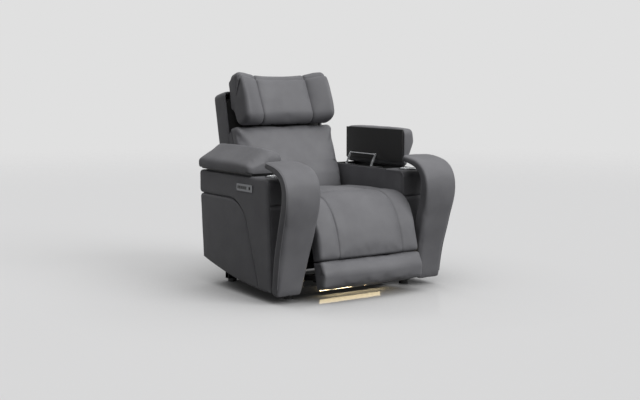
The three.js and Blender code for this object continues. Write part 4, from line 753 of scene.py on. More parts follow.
FOOT_START = 164.5
FOOT_END = 295
FOOT_BULGE = 92
FOOT_END_DEPTH = 74
FOOT_TOP_DEPTH = 77


def footrest_roll():
    middle = (FOOT_START + FOOT_END) / 2
    corners = [(LEG_PAD_BACK, FOOT_START, 0), (FOOT_TOP_DEPTH, FOOT_START, 20), (FOOT_BULGE, middle, 60),
               (FOOT_END_DEPTH, FOOT_END, 26), (LEG_PAD_BACK, FOOT_END, 0)]
    piece, held = padded_across(
        "footrest_roll", filled(rounded(corners, 8)), lambda p: p[0] < LEG_PAD_BACK + 1, LEG_HIGH[0], 15, 6,
        lambda x, forward, down: (x, *leg_place(down, forward)))
    softened(piece, held, 10, 3, 0.01, (1.0, 110, 8.3))
    upholstered(piece, "footrest", 0.7, "footrest_pad")


# Back cushion

BACK_FOOT = 62
BACK_TOP = 455
BACK_REAR = 28.7
BACK_FACE = -105
BACK_FACE_TOP = -56
BACK_EDGE = 16


def back_cushion():
    corners = [(BACK_REAR, BACK_FOOT, 0), (BACK_REAR, BACK_TOP - 32, 0), (BACK_REAR - 10, BACK_TOP, 14),
               (BACK_FACE_TOP - 2, BACK_TOP + 3, 40), (BACK_FACE + 8, (BACK_FOOT + BACK_TOP) / 2, 120),
               (BACK_FACE, (2 * BACK_FOOT + BACK_TOP) / 3, 120), (BACK_FACE, BACK_FOOT, 34)]
    half = box_mm("back_cushion")[1][0]
    piece, held = padded_across("back_cushion_skin", filled(rounded(corners, 7)),
                                lambda p: p[0] > BACK_REAR - 1, half, BACK_EDGE, 3, in_back)
    softened(piece, held, 14, 2.6, 0.006, (1.6, 150, 5.7))
    upholstered(piece, "back", 0.65, "back_cushion")


# Headrest: three panels between two wings' seams, over a roll at its foot

HEAD_SEAM = 145
HEAD_SEAM_DEPTH = 7
HEAD_WING = 205
HEAD_ROLL = 50
HEAD_REAR = 3.5
HEAD_TOP = 705
HEAD_WING_RISE = 17
HEAD_REAR_TOP = 14
HEAD_PLATE = (545, 680)  # heights between which its rear lies on the plate
HEAD_FOOT_DEPTHS = (108, 141)  # in the middle and at the wings
HEAD_TOP_DEPTHS = (62, 96)
HEAD_EDGE = 24
HEAD_FRONT_SHARES = (0.12, 0.35, 0.6, 0.85)  # heights on its front
HEAD_WING_SHARES = (1, 0.92, 0.7, 0.3)  # how much of the foot's depth the wings keep there
HEAD_SLOTS = ((66, 86), (-68, 11), (430, 580))  # for the bracket's arms: x, depth and height


def headrest_section(x, wing):
    """A section of the headrest in the back's frame. wing is 0 in the middle and 1 at the ends"""
    axis, low = from_back(*joint_mm("headrest_tilt"))
    top = HEAD_TOP + HEAD_WING_RISE * min(1.0, abs(x) / HEAD_WING) ** 2.6
    foot_depth, top_depth = [a + (b - a) * wing for a, b in (HEAD_FOOT_DEPTHS, HEAD_TOP_DEPTHS)]
    roll = []
    for k in range(17):
        angle = -math.pi * k / 16
        out = foot_depth + axis if k > 8 else HEAD_ROLL
        roll.append((axis + out * math.cos(angle), low + HEAD_ROLL * math.sin(angle)))
    face = []
    for share, wing_share in zip(HEAD_FRONT_SHARES, HEAD_WING_SHARES):
        mix = (1 - share) + (wing_share - (1 - share)) * wing
        face.append((-(top_depth + (foot_depth - top_depth) * mix), low + share * (top - low)))
    face = spline(np.array([roll[-1], *face, (-top_depth + 2, top - 34)]), 22)[1:]
    crest = rounded([(-top_depth, low, 0), (-top_depth + 4, top, 30), (-HEAD_REAR_TOP, top - 8, 30),
                     (HEAD_REAR, HEAD_PLATE[1], 0)], 7)[1:]
    rear = np.linspace((HEAD_REAR, HEAD_PLATE[1]), (HEAD_REAR, HEAD_PLATE[0]), 13)[1:]
    last = np.linspace((HEAD_REAR, HEAD_PLATE[0]), roll[0], 4)[1:-1]
    return np.array([*roll, *face, *crest, *rear, *last])


def headrest():
    half = box_mm("headrest_cushion")[1][0]
    columns = stations(half, HEAD_EDGE, (HEAD_SEAM,))
    rings = []
    held = []
    for x in columns:
        wing = (abs(x) - HEAD_SEAM) / (half - HEAD_EDGE - HEAD_SEAM)
        outline = headrest_section(x, min(1.0, max(0.0, wing)))
        soft = np.array([0.0 if p[0] > HEAD_REAR - 0.3 else 1.0 for p in outline])
        give = end_draw(x, half, HEAD_EDGE) + seam_draw(x, HEAD_SEAM, HEAD_SEAM_DEPTH)
        rings.append([in_back(x, a, b) for a, b in outline + inwards(outline) * (soft * give)[:, None]])
        held.extend(np.ones(len(soft)) if beside(x, HEAD_SEAM) else 1 - soft)
    piece = loft("headrest_skin", rings)
    caps = [0] * ring_index(0, len(rings[0]))
    softened(piece, [*caps, *held, *caps, 0, 0], 8, 2.6, 0.002, (1.4, 120, 11.9))
    across, depths, heights = HEAD_SLOTS
    cut(piece, *[box_tool([(sign * x, w, v) for x in across for w in depths for v in heights])
                 for sign in (-1, 1)])
    upholstered(piece, "headrest", 0.8, "headrest_cushion")
    seams = [min(range(len(columns)), key=lambda i: abs(columns[i] - x)) for x in (-HEAD_SEAM, HEAD_SEAM)]
    sew(piece, [(rings[k][12:50], (1, 0, 0)) for k in seams], "headrest")


def box_tool(corners):
    """A closed box through eight corners (x, depth, height) of the back's frame, as a cutter"""
    points = [in_back(*c) for c in corners]
    faces = [[0, 1, 3, 2], [4, 6, 7, 5], [0, 4, 5, 1], [2, 3, 7, 6], [0, 2, 6, 4], [1, 5, 7, 3]]
    return mesh_from("cutter", points, face_outwards(points, faces))


# Bolsters: the padded strips in front of the arms, which curl back over them

BOLSTER_LINE = ((0, 0), (0.27, 0.27), (0.54, 0.44), (0.74, 0.575), (0.9, 0.66), (1, 0.78), (0.9, 0.88),
                (0.59, 0.94), (0.13, 0.97), (-0.74, 1))  # shares of its reach and of its rise
BOLSTER_THICKNESS = 46
BOLSTER_TIP = 26
BOLSTER_FOOT = 40
BOLSTER_BACK = 319.3  # where its foot stands in front of the arm
BOLSTER_EDGE = 10
BOLSTER_TIP_ROUND = 26  # of its corners as seen from above
BOLSTER_WIDE = 0.5
BOLSTER_THIN = 0.62
BOLSTER_OUTER = (-3, 8)  # past the arm's outer face, at the foot and at the top
BOLSTER_INNER = (43, 3)  # inside the arm's inner face
BOLSTER_POINTS = 72
PIPING_RADIUS = 2.4


def bolster_line():
    """Depth and height of the strip's middle, from its foot to its tip"""
    foot = BOLSTER_BACK + BOLSTER_THICKNESS / 2
    reach = -box_mm("bolster_left")[0][1] - BOLSTER_THICKNESS / 2 - foot
    rise = ARM_TOP + 75 - BOLSTER_TIP / 2 - BOLSTER_FOOT
    points = np.array([(-foot - reach * out, BOLSTER_FOOT + rise * up) for out, up in BOLSTER_LINE])
    return calmed(spline(points, BOLSTER_POINTS), 14)


def bolster_ring(spot, way, share, draw=0, shift=0, narrowed=0):
    """A section of the strip and the place of its piping. share is 0 at the foot and 1 at the tip, draw
    takes it in on all sides, shift moves it along the strip and narrowed takes it in across"""
    starts = [1 - (1 - min(1, share / BOLSTER_WIDE)) ** power for power in (1.6, 2)]
    past, inside = [a + (b - a) * start for (a, b), start in zip((BOLSTER_OUTER, BOLSTER_INNER), starts)]
    outer = ARM_OUTER + past - draw - narrowed
    inner = ARM_INNER + inside + draw + narrowed
    thinning = float(smooth_step(share, BOLSTER_THIN, 1))
    half = (BOLSTER_THICKNESS + (BOLSTER_TIP - BOLSTER_THICKNESS) * thinning) / 2 - draw * 0.6
    radius = min(BOLSTER_EDGE, half * 0.8)
    corners = [(inner, -half, radius), (outer, -half, radius), (outer, half, radius), (inner, half, radius)]
    a, b = way
    middle = spot + way * shift
    edge = half - radius * 0.3
    ring = [(x, middle[0] + b * t, middle[1] - a * t) for x, t in filled(rounded(corners, 5), 13)]
    return even_ring(ring), (outer - radius * 0.3, middle[0] - b * edge, middle[1] + a * edge)


def even_ring(ring, count=60):
    """A closed ring as count evenly spaced points"""
    return evenly(np.array([*ring, ring[0]]), count + 1)[:-1]


def bolsters():
    line = bolster_line()
    ways = directions(line)
    turns = [(BOLSTER_EDGE * (1 - math.sin(a)), BOLSTER_EDGE * (1 - math.cos(a)))
             for a in [math.pi * k / 10 for k in range(5)]]
    step = np.linalg.norm(line[-1] - line[-2])
    last = BOLSTER_POINTS - 1
    made = [bolster_ring(line[0], ways[0], 0, draw, shift) for draw, shift in turns]
    for i in range(2, last - 1):
        narrowed = corner_draw((last - i) * step, BOLSTER_TIP_ROUND) * 0.6
        made.append(bolster_ring(line[i], ways[i], i / last, 0, 0, narrowed))
    for draw, shift in turns[::-1]:
        made.append(bolster_ring(line[last], ways[last], 1, draw, -shift, BOLSTER_TIP_ROUND * 0.6))
    left = loft("bolster_left_skin", [ring for ring, _ in made])
    softened(left, held_behind(left, line), 5, 1.8, 0.002, (0.8, 120, 2.3))
    welt = [spot for _, spot in made][6:-6]
    cord = bolster_piping(np.array([tuple(p) for p in laid_on(left, welt, PIPING_RADIUS * 0.3)]) / MM)
    right = mirrored_copy(left, "bolster_right_skin")
    for piece in (cord, mirrored_copy(cord, "bolster_right_piping")):
        upholstered(piece, "seat_base", 0.9)
    for side, piece in (("left", left), ("right", right)):
        upholstered(piece, "seat_base", 0.8, f"bolster_{side}")


def bolster_piping(path):
    """A thin welt along a path"""
    path = calmed(path, 6)
    turns = np.linspace(0, 2 * math.pi, 10, endpoint=False)
    rings = []
    for i in range(len(path)):
        way = path[min(i + 1, len(path) - 1)] - path[max(i - 1, 0)]
        way /= np.linalg.norm(way)
        side = np.cross(way, (1, 0, 0))
        side /= np.linalg.norm(side)
        other = np.cross(way, side)
        rings.append([path[i] + PIPING_RADIUS * (math.cos(a) * side + math.sin(a) * other) for a in turns])
    return loft("bolster_left_piping", rings, (0.6,))


def held_behind(piece, line):
    """1 for the points behind a strip's middle line, which rest on what carries it, and 0 in front"""
    held = []
    ways = np.gradient(line, axis=0)
    for _, a, b in coords(piece) / MM:
        k = int(np.argmin(np.sum((line - (a, b)) ** 2, axis=1)))
        side = (a - line[k][0]) * ways[k][1] - (b - line[k][1]) * ways[k][0]
        held.append(1.0 if side > 6 else 0.0)
    return held


# Lids: soft pads that slope to the outside

LID_PLACES = (0, 0.08, 0.2, 0.34, 0.5, 0.8, 1)  # along the lid, and the shares of its height there
LID_HEIGHTS = {"right": (0.84, 0.9, 0.96, 0.99, 1, 1, 1), "left": (0.6, 0.68, 0.82, 0.94, 1, 1, 1)}
LID_OVERHANG = 15
LID_EDGE = 39
LID_CREST = 114
LID_CREST_INSET = 68
LID_INNER_INSET = 4
LID_INNER_SHARE = 0.86
LID_END = 27
LID_PIVOT_INSET = 26
LID_PIVOT_RISE = 45
LID_LOW, LID_HIGH = box_mm("lid_pad_right")


def lid_rings(heights):
    """Sections of a closed left lid's pad, from its front end to its rear end"""
    base, front = LID_LOW[2], LID_LOW[1]
    length = LID_HIGH[1] - front
    outer = ARM_OUTER + LID_OVERHANG
    inner = ARM_INNER + LID_INNER_INSET
    centre = (inner + outer) / 2
    ends = [math.pi / 2 * k / 6 for k in range(7)]
    head = [(LID_END * (1 - math.cos(a)), LID_END * (1 - math.sin(a))) for a in ends]
    middle = [(place, 0) for place in np.linspace(LID_END, length - LID_END, 38)[1:-1]]
    rings = []
    for place, draw in [*head, *middle, *[(length - a, d) for a, d in head[::-1]]]:
        grown = float(np.interp(place / length, LID_PLACES, heights))
        edge, crest = LID_EDGE * grown, LID_CREST * grown
        corners = [(inner, base, 8), (outer, base, 9), (outer, base + edge, 16),
                   (ARM_INNER + LID_CREST_INSET, base + crest, 36),
                   (inner, base + crest * LID_INNER_SHARE, 24)]
        narrow = 1 - 2 * draw / (outer - inner)
        lowered = 1 - draw / crest
        rings.append([(centre + (x - centre) * narrow, front + place, base + (z - base) * lowered)
                      for x, z in even_ring(filled(rounded(corners, 7), 8))])
    return rings


def lid_pads():
    for side in SIDES:
        closed = loft("lid_pad_closed", lid_rings(LID_HEIGHTS[side]))
        held = np.where(coords(closed)[:, 2] < (LID_LOW[2] + 3) * MM, 1.0, 0.0)
        softened(closed, held, 2.5, 2.0, 0, (1.0, 110, 6.1))
        shape = coords(closed) / MM
        faces = [list(f.vertices) for f in closed.data.polygons]
        bpy.data.objects.remove(closed)
        if side == "right":
            piece = mesh_from("lid_pad_right_skin", shape * (-1, 1, 1), [f[::-1] for f in faces])
        else:
            piece = mesh_from("lid_pad_left_skin", lid_opened(shape), faces)
        upholstered(piece, f"lid_{side}", 0.75, f"lid_pad_{side}")


def lid_opened(shape):
    """Where the points of the closed left lid lie once it stands open, a quarter turn outwards"""
    pivot = ARM_OUTER - LID_PIVOT_INSET, ARM_TOP + LID_PIVOT_RISE
    x, y, z = shape.T
    return np.stack([pivot[0] + (z - pivot[1]), y, pivot[1] - (x - pivot[0])], 1)


# Arm sides: two padded panels, above and below a curved seam

PANEL_THICKNESS = 12
PANEL_EDGE = 11.5
PANEL_GAP = 3
PANEL_LATTICE = 13  # mesh size of a panel's face
PANEL_SWELL = 45  # how far from its rim a panel takes to swell
SEAM_HEIGHT = 439
SEAM_CORNER = -76
SEAM_FOOT = -212
SEAM_RADIUS = 170
FRONT_FOOT = -319
FRONT_TOP = -297
FOOT_FRONT_HEIGHT = 47
FOOT_REAR_HEIGHT = 128
REAR_FOOT = 303
REAR_PINCH = 310
REAR_PAD = 330


def foot_line(depth):
    share = np.maximum(0, (depth - FRONT_FOOT) / (REAR_FOOT - FRONT_FOOT))
    return FOOT_FRONT_HEIGHT + (FOOT_REAR_HEIGHT - FOOT_FRONT_HEIGHT) * share ** 2


def foot_edge(start, end):
    places = np.linspace(start, end, 18)
    return np.stack([places, foot_line(places)], 1)


def outer_seam(offset):
    """The curved seam, moved outwards by offset"""
    corners = [(REAR_PINCH, SEAM_HEIGHT + offset, 0),
               (SEAM_CORNER - offset, SEAM_HEIGHT + offset, SEAM_RADIUS + offset),
               (SEAM_FOOT - offset, foot_line(SEAM_FOOT - offset), 0), (REAR_PINCH, 0, 0)]
    return rounded(corners, 18)[:-1]


def distance_to(points, outline):
    """The shortest distance from each point to a closed outline"""
    best = np.full(len(points), 1e9)
    for start, way in zip(outline, np.roll(outline, -1, 0) - outline):
        t = np.clip(((points - start) @ way) / max(way @ way, 1e-9), 0, 1)
        best = np.minimum(best, np.linalg.norm(points - start - t[:, None] * way, axis=1))
    return best


def points_inside(points, outline):
    inside = np.zeros(len(points), bool)
    for (ax, ay), (bx, by) in zip(outline, np.roll(outline, -1, 0)):
        crosses = (ay > points[:, 1]) != (by > points[:, 1])
        inside ^= crosses & (points[:, 0] < ax + (points[:, 1] - ay) * (bx - ax) / (by - ay + 1e-12))
    return inside


def padded_panel(name, outline, edge, crown, place):
    """A padded panel: a flat back of any outline, rounded edges, and a front that swells by crown"""
    outline = filled(outline, 7)
    if signed_area(outline) < 0:
        outline = outline[::-1]
    inward = inwards(outline)
    flat = PANEL_THICKNESS - edge
    levels = [(0.0, 0.0)]
    for k in range(6):
        angle = math.pi / 2 * k / 5
        levels.append((edge * (1 - math.cos(angle)), flat + edge * math.sin(angle)))
    count = len(outline)
    points = [(a, b, height) for draw, height in levels for a, b in outline + inward * draw]
    faces = [list(range(count))[::-1], *wall(len(levels), count)]
    rim = outline + inward * edge
    low, high = rim.min(0), rim.max(0)
    grid = np.array([(a + (PANEL_LATTICE / 2 if row % 2 else 0), b)
                     for row, b in enumerate(np.arange(low[1], high[1], PANEL_LATTICE * 0.87))
                     for a in np.arange(low[0], high[0], PANEL_LATTICE)])
    inside = grid[points_inside(grid, rim) & (distance_to(grid, rim) > PANEL_LATTICE * 0.5)]
    ring_edges = [(k, (k + 1) % count) for k in range(count)]
    verts, _, tris, _, _, _ = delaunay_2d_cdt([Vector(p) for p in [*rim, *inside]], ring_edges, [], 1, 1e-5)
    spread = np.array([tuple(v) for v in verts])
    swell = crown * (1 - np.exp(-(distance_to(spread, rim) / PANEL_SWELL) ** 1.3))
    start = (len(levels) - 1) * count
    points.extend((a, b, PANEL_THICKNESS + s) for (a, b), s in zip(spread[count:], swell[count:]))
    faces.extend([[start + k for k in tri] for tri in tris])
    laid = [place(*p) for p in points]
    return mesh_from(name, laid, face_outwards(laid, faces))


def upper_panel_outline():
    top = rounded([(FRONT_FOOT, FOOT_FRONT_HEIGHT, 0), (FRONT_TOP, ARM_TOP, 36), (REAR_PAD, ARM_TOP, 18),
                   (REAR_PAD, SEAM_HEIGHT + PANEL_GAP / 2, 18), (0, SEAM_HEIGHT, 0)], 8)[1:-1]
    foot = foot_edge(SEAM_FOOT - PANEL_GAP / 2, FRONT_FOOT)[1:]
    return np.array([*top, *outer_seam(PANEL_GAP / 2)[1:], *foot])


def lower_panel_outline():
    foot = foot_edge(SEAM_FOOT + PANEL_GAP / 2, REAR_FOOT)[1:]
    rear = rounded([(0, 0, 0), (REAR_FOOT + 4, FOOT_REAR_HEIGHT, 0),
                    (REAR_PAD - 4, SEAM_HEIGHT - PANEL_GAP / 2, 18), (0, SEAM_HEIGHT, 0)], 8)[2:-1]
    return np.array([*outer_seam(-PANEL_GAP / 2)[1:], *foot, *rear])


def arm_panels():
    seam = evenly(outer_seam(PANEL_GAP / 2 + PANEL_EDGE + 2)[1:], 90)
    for side, sign in SIDES.items():
        made = {}
        for part, outline, crown, seed in (("upper", upper_panel_outline(), 0, 4.2),
                                           ("lower", lower_panel_outline(), 4, 9.4)):
            piece = padded_panel(f"arm_side_{part}_{side}", outline, PANEL_EDGE, crown,
                                 lambda a, b, h: (sign * (ARM_OUTER - PANEL_THICKNESS + h), a, b))
            creased(piece, 0.7, 120, seed)
            upholstered(piece, "seat_base", 0.9, f"arm_outer_panel_{part}_{side}")
            made[part] = piece
        row = laid_on(made["upper"], [(sign * (ARM_OUTER + 2), a, b) for a, b in seam], 0.2)
        stitched(f"arm_side_stitches_{side}", [row], "seat_base")


# Arm front: the pad that wraps from the arm's front over its top, with the cup's bore

FRONT_SEAM = 429
FRONT_SEAM_DEPTH = 5
FRONT_PAD_EDGE = 5
TOP_PAD = 12  # thickness of the pad on the arm's top
TOP_PAD_REAR = -165
CUP_BORE = 40.6


def front_slope(height):
    """Depth of the arm's leaning front face at a height"""
    share = (height - FOOT_FRONT_HEIGHT) / (ARM_TOP - FOOT_FRONT_HEIGHT)
    return FRONT_FOOT + share * (FRONT_TOP - FRONT_FOOT)


def arm_front_pads():
    back = ARM_LOW[1] - FIT_GAP
    under = ARM_TOP - TOP_PAD + FIT_GAP
    inner, outer = ARM_INNER, ARM_HIGH[0]
    seam = [(front_slope(FRONT_SEAM + up), FRONT_SEAM + up, 0) for up in (30, -30)]
    middle = front_slope(FRONT_SEAM)
    corners = [(back, FOOT_FRONT_HEIGHT, 0), (back, under, 0), (TOP_PAD_REAR, under, 0),
               (TOP_PAD_REAR, ARM_TOP, 5.8), (FRONT_TOP, ARM_TOP, 36), seam[0],
               (middle - 1, FRONT_SEAM + 8, 0), (middle + FRONT_SEAM_DEPTH, FRONT_SEAM, 0),
               (middle - 1, FRONT_SEAM - 8, 0), seam[1], (FRONT_FOOT, FOOT_FRONT_HEIGHT, 18)]
    outline = filled(rounded(corners, 7), 12)
    inward = inwards(outline)
    soft = np.array([0.0 if (p[0] > back - 1 and p[1] < under + 1) else 1.0 for p in outline])
    edges = [FRONT_PAD_EDGE * (1 - math.cos(math.pi / 2 * k / 4)) for k in range(5)]
    columns = [*[inner + e for e in edges],
               *np.linspace(inner + FRONT_PAD_EDGE, outer - FRONT_PAD_EDGE, 14)[1:-1],
               *[outer - e for e in edges[::-1]]]
    gives = [end_draw(x - (inner + outer) / 2, (outer - inner) / 2, FRONT_PAD_EDGE) for x in columns]
    sections = [outline + inward * (soft * give)[:, None] for give in gives]
    low, high = box_mm("cup_holder_left")
    cup_x, cup_y = (low + high)[:2] / 2
    for side, sign in SIDES.items():
        piece = loft(f"arm_front_{side}", [[(sign * x, a, b) for a, b in section]
                                           for x, section in zip(columns, sections)], None)
        cut(piece, turned_body("bore", [(0, ARM_TOP - 40), (CUP_BORE, ARM_TOP - 40), (CUP_BORE, ARM_TOP + 20),
                                        (0, ARM_TOP + 20)], (sign * cup_x, cup_y)))
        upholstered(sharp_past(piece, 40), "seat_base", 0.9, f"arm_front_pad_{side}")


def turned_body(name, profile, centre, segments=72):
    """A body turned about a standing axis, from a profile of (radius, height) that is closed or starts and
    ends on the axis"""
    section = [p for p in profile if p[0] > 0]
    closed = profile[0][0] > 0
    count = len(section)
    turns = [2 * math.pi * k / segments for k in range(segments)]
    x, y = centre
    points = [(x + r * math.cos(a), y + r * math.sin(a), h) for a in turns for r, h in section]
    faces = []
    for k in range(segments):
        n = (k + 1) % segments
        for i in range(count if closed else count - 1):
            j = (i + 1) % count
            faces.append([k * count + i, n * count + i, n * count + j, k * count + j])
    for end, height in () if closed else ((0, profile[0][1]), (count - 1, profile[-1][1])):
        hub = len(points)
        points.append((x, y, height))
        for k in range(segments):
            face = [k * count + end, (k + 1) % segments * count + end, hub]
            faces.append(face if end else face[::-1])
    return mesh_from(name, points, face_outwards(points, faces))


def arm_bodies():
    """The upholstered arm behind the pads: a copy of the CAD's, merged, with soft edges"""
    for side in SIDES:
        piece = placed(f"arm_body_{side}", frame["nodes"][f"arm_box_{side}"].data.copy())
        piece.data.materials.clear()
        form = bmesh.new()
        form.from_mesh(piece.data)
        bmesh.ops.remove_doubles(form, verts=form.verts, dist=0.01 * MM)
        bmesh.ops.dissolve_limit(form, angle_limit=math.radians(1), verts=form.verts, edges=form.edges)
        form.to_mesh(piece.data)
        form.free()
        modified(piece, ("BEVEL", {"width": 3 * MM, "segments": 3, "limit_method": "ANGLE",
                                   "angle_limit": math.radians(30), "harden_normals": False}))
        upholstered(sharp_past(piece, 50), "seat_base", 1, f"arm_box_{side}")


# Cup holders and their rings

CUP_RADIUS = 37
CUP_WALL = 2.5
CUP_RING = 46


def cups():
    inner = CUP_RADIUS
    for side in SIDES:
        low, high = box_mm(f"cup_holder_{side}")
        centre = ((low + high) / 2)[:2]
        floor, rim = low[2] + CUP_WALL, high[2] - CUP_WALL
        profile = [(0, low[2]), (inner - 3, low[2]), (inner + 1, low[2] + 1.5), (inner + CUP_WALL, floor + 3),
                   (inner + CUP_WALL, rim), (CUP_RING - 3, rim), (CUP_RING - 2.5, rim + 1.2),
                   (CUP_RING - 3, rim + CUP_WALL), (inner, rim + CUP_WALL), (inner - 0.6, rim - 2),
                   (inner - 0.9, floor + 8), (inner - 3, floor + 3.4), (inner - 9, floor + 2.5),
                   (20, floor + 2.5), (19, floor + 3.5), (18, floor + 2.5), (0, floor + 2.5)]
        finished(turned_body(f"cup_{side}", profile, centre), "seat_base", BLACK_PLASTIC, "black_plastic",
                 f"cup_holder_{side}")
        base, top = [v[2] for v in box_mm(f"cup_ring_{side}")]
        section = [(inner + 0.3, base), (CUP_RING - 0.6, base), (CUP_RING, base + 0.5),
                   (CUP_RING - 0.1, base + 1.3), (CUP_RING - 1.4, top - 0.2), (CUP_RING - 3.2, top),
                   (inner + 3, top - 0.1), (inner + 1.2, top - 0.5), (inner + 0.4, top - 1.5)]
        finished(turned_body(f"cup_rim_{side}", section, centre, 96), "seat_base", CHROME, "bright_steel",
                 f"cup_ring_{side}")


# Back shell: a padded rear panel inside a band that runs up one side, over the top and down the other

SHELL_FRONT = 29
SHELL_REAR = 131
SHELL_TOP = 641
SHELL_FOOT = 20
SHELL_WALL = 12
SHELL_CORNER = 22


def shell_path(inset, count):
    half = box_mm("back_shell")[1][0] - inset
    top = SHELL_TOP - inset
    radius = SHELL_CORNER - inset
    corners = [(-half, SHELL_FOOT, 0), (-half, top, radius), (half, top, radius), (half, SHELL_FOOT, 0)]
    return evenly(rounded(corners, 12), count)


def back_shell():
    half = SHELL_WALL / 2
    low, high = SHELL_FRONT, SHELL_REAR - SHELL_WALL * 0.1
    section = filled(rounded([(-half, low, 5), (half, low, 5), (half, high, 5), (-half, high, 4)], 5), 12)
    path = shell_path(half, 150)
    rings = []
    for spot, (a, b) in zip(path, directions(path)):
        ring = []
        for t, w in section:
            if t > 0:
                t += 1.5 * math.sin(math.pi * (w - low) / (high - low))
            ring.append(in_back(spot[0] - b * t, w, spot[1] + a * t))
        rings.append(ring)
    band = loft("back_shell_band", rings, None)
    creased(band, 0.6, 130, 1.9)
    upholstered(band, "back", 0.9, "back_shell")
    outline = shell_path(SHELL_WALL + 0.5, 140)
    outline = np.array([*outline, *np.linspace(outline[-1], outline[0], 40)[1:-1]])
    rear = padded_panel("back_shell_rear", outline, 8, 3,
                        lambda a, b, h: in_back(a, SHELL_REAR - SHELL_WALL + h, b))
    creased(rear, 1.0, 160, 7.7)
    upholstered(rear, "back", 0.9, "back_shell")


# Dust cloth: a black apron behind the power unit, below the sweep of the back's foot. It is also painted
# shade: it darkens the view under the seat, where the lit floor behind the seat would show

APRON_DEPTH = 288
APRON_FOOT = 34
APRON_TOP = 186
APRON_THICKNESS = 1.6
APRON_GRID = (61, 9)


def painted_shade_apron():
    columns, rows = APRON_GRID
    half = ARM_INNER - 1
    points = []
    for back in (0, APRON_THICKNESS):
        for z in np.linspace(APRON_FOOT, APRON_TOP, rows):
            loose = (APRON_TOP - z) / (APRON_TOP - APRON_FOOT)
            for x in np.linspace(-half, half, columns):
                fold = 3.5 * loose * math.sin(x / 31 + 0.8 * math.sin(x / 57))
                points.append((x, APRON_DEPTH + fold + back, z - 3 * loose * math.cos(x / 90)))
    sheet = columns * rows
    faces = []
    for i in range(rows - 1):
        for a in range(i * columns, (i + 1) * columns - 1):
            face = [a, a + 1, a + 1 + columns, a + columns]
            faces.extend([face, [sheet + k for k in face[:1] + face[:0:-1]]])
    rim = [*range(columns), *range(2 * columns - 1, sheet, columns),
           *range(sheet - 2, sheet - columns - 1, -1), *range(sheet - 2 * columns, 0, -columns)]
    for a, b in zip(rim, [*rim[1:], rim[0]]):
        faces.append([a, a + sheet, b + sheet, b])
    piece = mesh_from("painted_shade_apron", points, face_outwards(points, faces))
    # painted shade: black cloth where the deep shade under the seat falls
    finished(piece, "seat_base", BLACK_CLOTH, "black_fabric")


# Finishes of the CAD's own pieces

NODE_FINISHES = (
    (BLACK_PLASTIC, "storage_bin_right storage_bin_left usb_port power_unit "
                    "control_button_1 control_button_2 control_button_3 control_button_4"),
    (BLACK_BOARD, "lid_board_right lid_board_left leg_board footrest_board seat_deck"),
    (BLACK_CLOTH, "back_liner"),
    (BRIGHT_STEEL, "lid_links_right lid_links_left lid_hinge_bases_right lid_hinge_bases_left"),
    (BRUSHED, "control_bezel light_channel"),
    (BLACK_STEEL, "base_frame side_plate_left side_plate_right cross_tube drive_tube front_link_left "
                  "front_link_right actuator_rail actuator_carriage actuator_motor back_motor "
                  "back_bracket_left back_bracket_right headrest_bracket headrest_plate"),
    (DIFFUSER, "light_diffuser"),
)


def dress_nodes():
    for finish, names in NODE_FINISHES:
        for name in names.split():
            skin = frame["nodes"][name].data.materials
            skin.clear()
            skin.append(finish)


# Camera, floor, backdrop and lamps

CAMERA_PLACE = (-2.8791, -4.2573, 0.9954)
CAMERA_AZIMUTH = math.radians(-34.2108)
CAMERA_PITCH = math.radians(6.5927)
CAMERA_LENS = 60.2
FLOOR_REACH = 40  # metres to each side
FLOOR_TONES = ("#d6d6d7", "#d7d7d7", "#4c4c4c")  # lit, even glow (dimmed under the seat as painted shadow), and in the light it throws back
FLOOR_EVEN = 0.6  # share of the even tone
FLOOR_SHADE = (0.12, 1.03, 0.02, 0.98)  # painted shadow: openness of the floor under the seat, and the tone of the even glow it gives there
FLOOR_SHADE_REACH = 0.9
FLOOR_GLOSS = 0.055
GLOSS_PLACE = (0, -0.42, 0)  # metres: the floor is glossy only here, before the lamp strip
GLOSS_FADE = (0.3, 0.6)
FLOOR_FADE = (4.5, 10.5)  # metres from the seat: from here to here the floor gives way to the backdrop
BACKDROP = "#e0e0e0"
FILL = 0.1
SUNS = (("key", (0.36, -0.76, 0.54), 34, 2.4), ("high", (-0.09, -0.16, 0.98), 56, 1.55),
        ("side", (0.72, 0.1, 0.69), 45, 0.35))


def camera():
    lens = bpy.data.cameras.new("camera")
    lens.sensor_width = 36
    lens.lens = CAMERA_LENS
    eye = placed("camera", lens)
    eye.location = CAMERA_PLACE
    eye.rotation_euler = (math.pi / 2 - CAMERA_PITCH, 0, CAMERA_AZIMUTH)
    bpy.context.scene.camera = eye


def seen_by(tree, *rays):
    """1 where one of the kinds of ray looks, and 0 for all others"""
    path = add(tree, "ShaderNodeLightPath")
    seen = (path, rays[0])
    for ray in rays[1:]:
        either = add(tree, "ShaderNodeMath", {"operation": "MAXIMUM"}, None, {0: seen, 1: (path, ray)})
        seen = (either, "Value")
    return seen


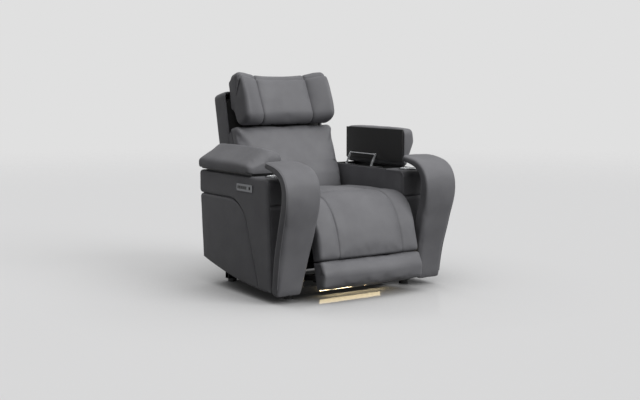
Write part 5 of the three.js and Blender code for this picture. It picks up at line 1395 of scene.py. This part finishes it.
def pale_floor():
    """Matt painted board with a thin clear coat, which mirrors the lamp strip faintly. It is pale to the
    camera and darker to the light it throws back at the seat, and far away it fades into the backdrop. Its
    even glow dims where the seat closes it in: a painted contact shadow"""
    made = bpy.data.materials.new("pale_studio_floor")
    tree = emptied(made)
    lit_tone, even_tone, bounce_tone = [{"Color": linear(code)} for code in FLOOR_TONES]
    smooth = {"interpolation_type": "SMOOTHSTEP"}
    # painted shadow: ambient occlusion dims the floor's even glow under and beside the seat
    near = add(tree, "ShaderNodeAmbientOcclusion", {"samples": 8}, {"Distance": FLOOR_SHADE_REACH})
    shade = add(tree, "ShaderNodeMapRange", smooth, dict(zip(RANGE_ENDS, FLOOR_SHADE)),
                {"Value": (near, "AO")})
    lit = add(tree, "ShaderNodeBsdfDiffuse", None, lit_tone)
    even = add(tree, "ShaderNodeEmission", None, even_tone, {"Strength": (shade, "Result")})
    dull = add(tree, "ShaderNodeBsdfDiffuse", None, bounce_tone)
    pale = add(tree, "ShaderNodeMixShader", None, {"Fac": FLOOR_EVEN}, {1: (lit, 0), 2: (even, 0)})
    seen = seen_by(tree, "Is Camera Ray", "Is Glossy Ray")
    matt = add(tree, "ShaderNodeMixShader", None, None, {"Fac": seen, 1: (dull, 0), 2: (pale, 0)})
    mirror = add(tree, "ShaderNodeBsdfGlossy", None, {"Color": (1, 1, 1, 1), "Roughness": 0.04})
    where = (add(tree, "ShaderNodeTexCoord"), "Object")
    before = add(tree, "ShaderNodeVectorMath", {"operation": "DISTANCE"}, {1: GLOSS_PLACE}, {0: where})
    share = add(tree, "ShaderNodeMapRange", smooth, dict(zip(RANGE_ENDS, (*GLOSS_FADE, FLOOR_GLOSS, 0))),
                {"Value": (before, "Value")})
    far = add(tree, "ShaderNodeVectorMath", {"operation": "LENGTH"}, None, {0: where})
    fade = add(tree, "ShaderNodeMapRange", smooth, dict(zip(RANGE_ENDS, FLOOR_FADE)),
               {"Value": (far, "Value")})
    clear = add(tree, "ShaderNodeBsdfTransparent")
    coated = add(tree, "ShaderNodeMixShader", None, None, {"Fac": (share, 0), 1: (matt, 0), 2: (mirror, 0)})
    whole = add(tree, "ShaderNodeMixShader", None, None, {"Fac": (fade, 0), 1: (coated, 0), 2: (clear, 0)})
    add(tree, "ShaderNodeOutputMaterial", links={"Surface": (whole, "Shader")})
    return made


def studio():
    corners = np.array([(-1, -1, 0), (1, -1, 0), (1, 1, 0), (-1, 1, 0)]) * FLOOR_REACH
    floor = mesh_from("studio_floor", corners / MM, [[0, 1, 2, 3]])
    floor.data.materials.append(pale_floor())
    world = bpy.data.worlds.new("studio")
    bpy.context.scene.world = world
    tree = emptied(world)
    fill, backdrop = [add(tree, "ShaderNodeBackground", None, {"Color": linear(code), "Strength": strength})
                      for code, strength in (("#ffffff", FILL), (BACKDROP, 1))]
    seen = seen_by(tree, "Is Camera Ray", "Is Glossy Ray", "Is Transmission Ray")
    both = add(tree, "ShaderNodeMixShader", None, None, {"Fac": seen, 1: (fill, 0), 2: (backdrop, 0)})
    add(tree, "ShaderNodeOutputWorld", links={"Surface": (both, "Shader")})
    for name, place, spread, strength in SUNS:
        light = bpy.data.lights.new(name, "SUN")
        light.angle = math.radians(spread)
        light.energy = strength
        lamp = placed(name, light)
        lamp.location = Vector(place) * 5
        lamp.rotation_euler = (-Vector(place)).to_track_quat("-Z", "Y").to_euler()


# Making the seat

camera()
studio()
dress_nodes()
seat_skin()
footrest_roll()
back_cushion()
headrest()
bolsters()
lid_pads()
arm_panels()
arm_front_pads()
arm_bodies()
cups()
back_shell()
painted_shade_apron()

bpy.context.scene.view_settings.view_transform = "Standard"
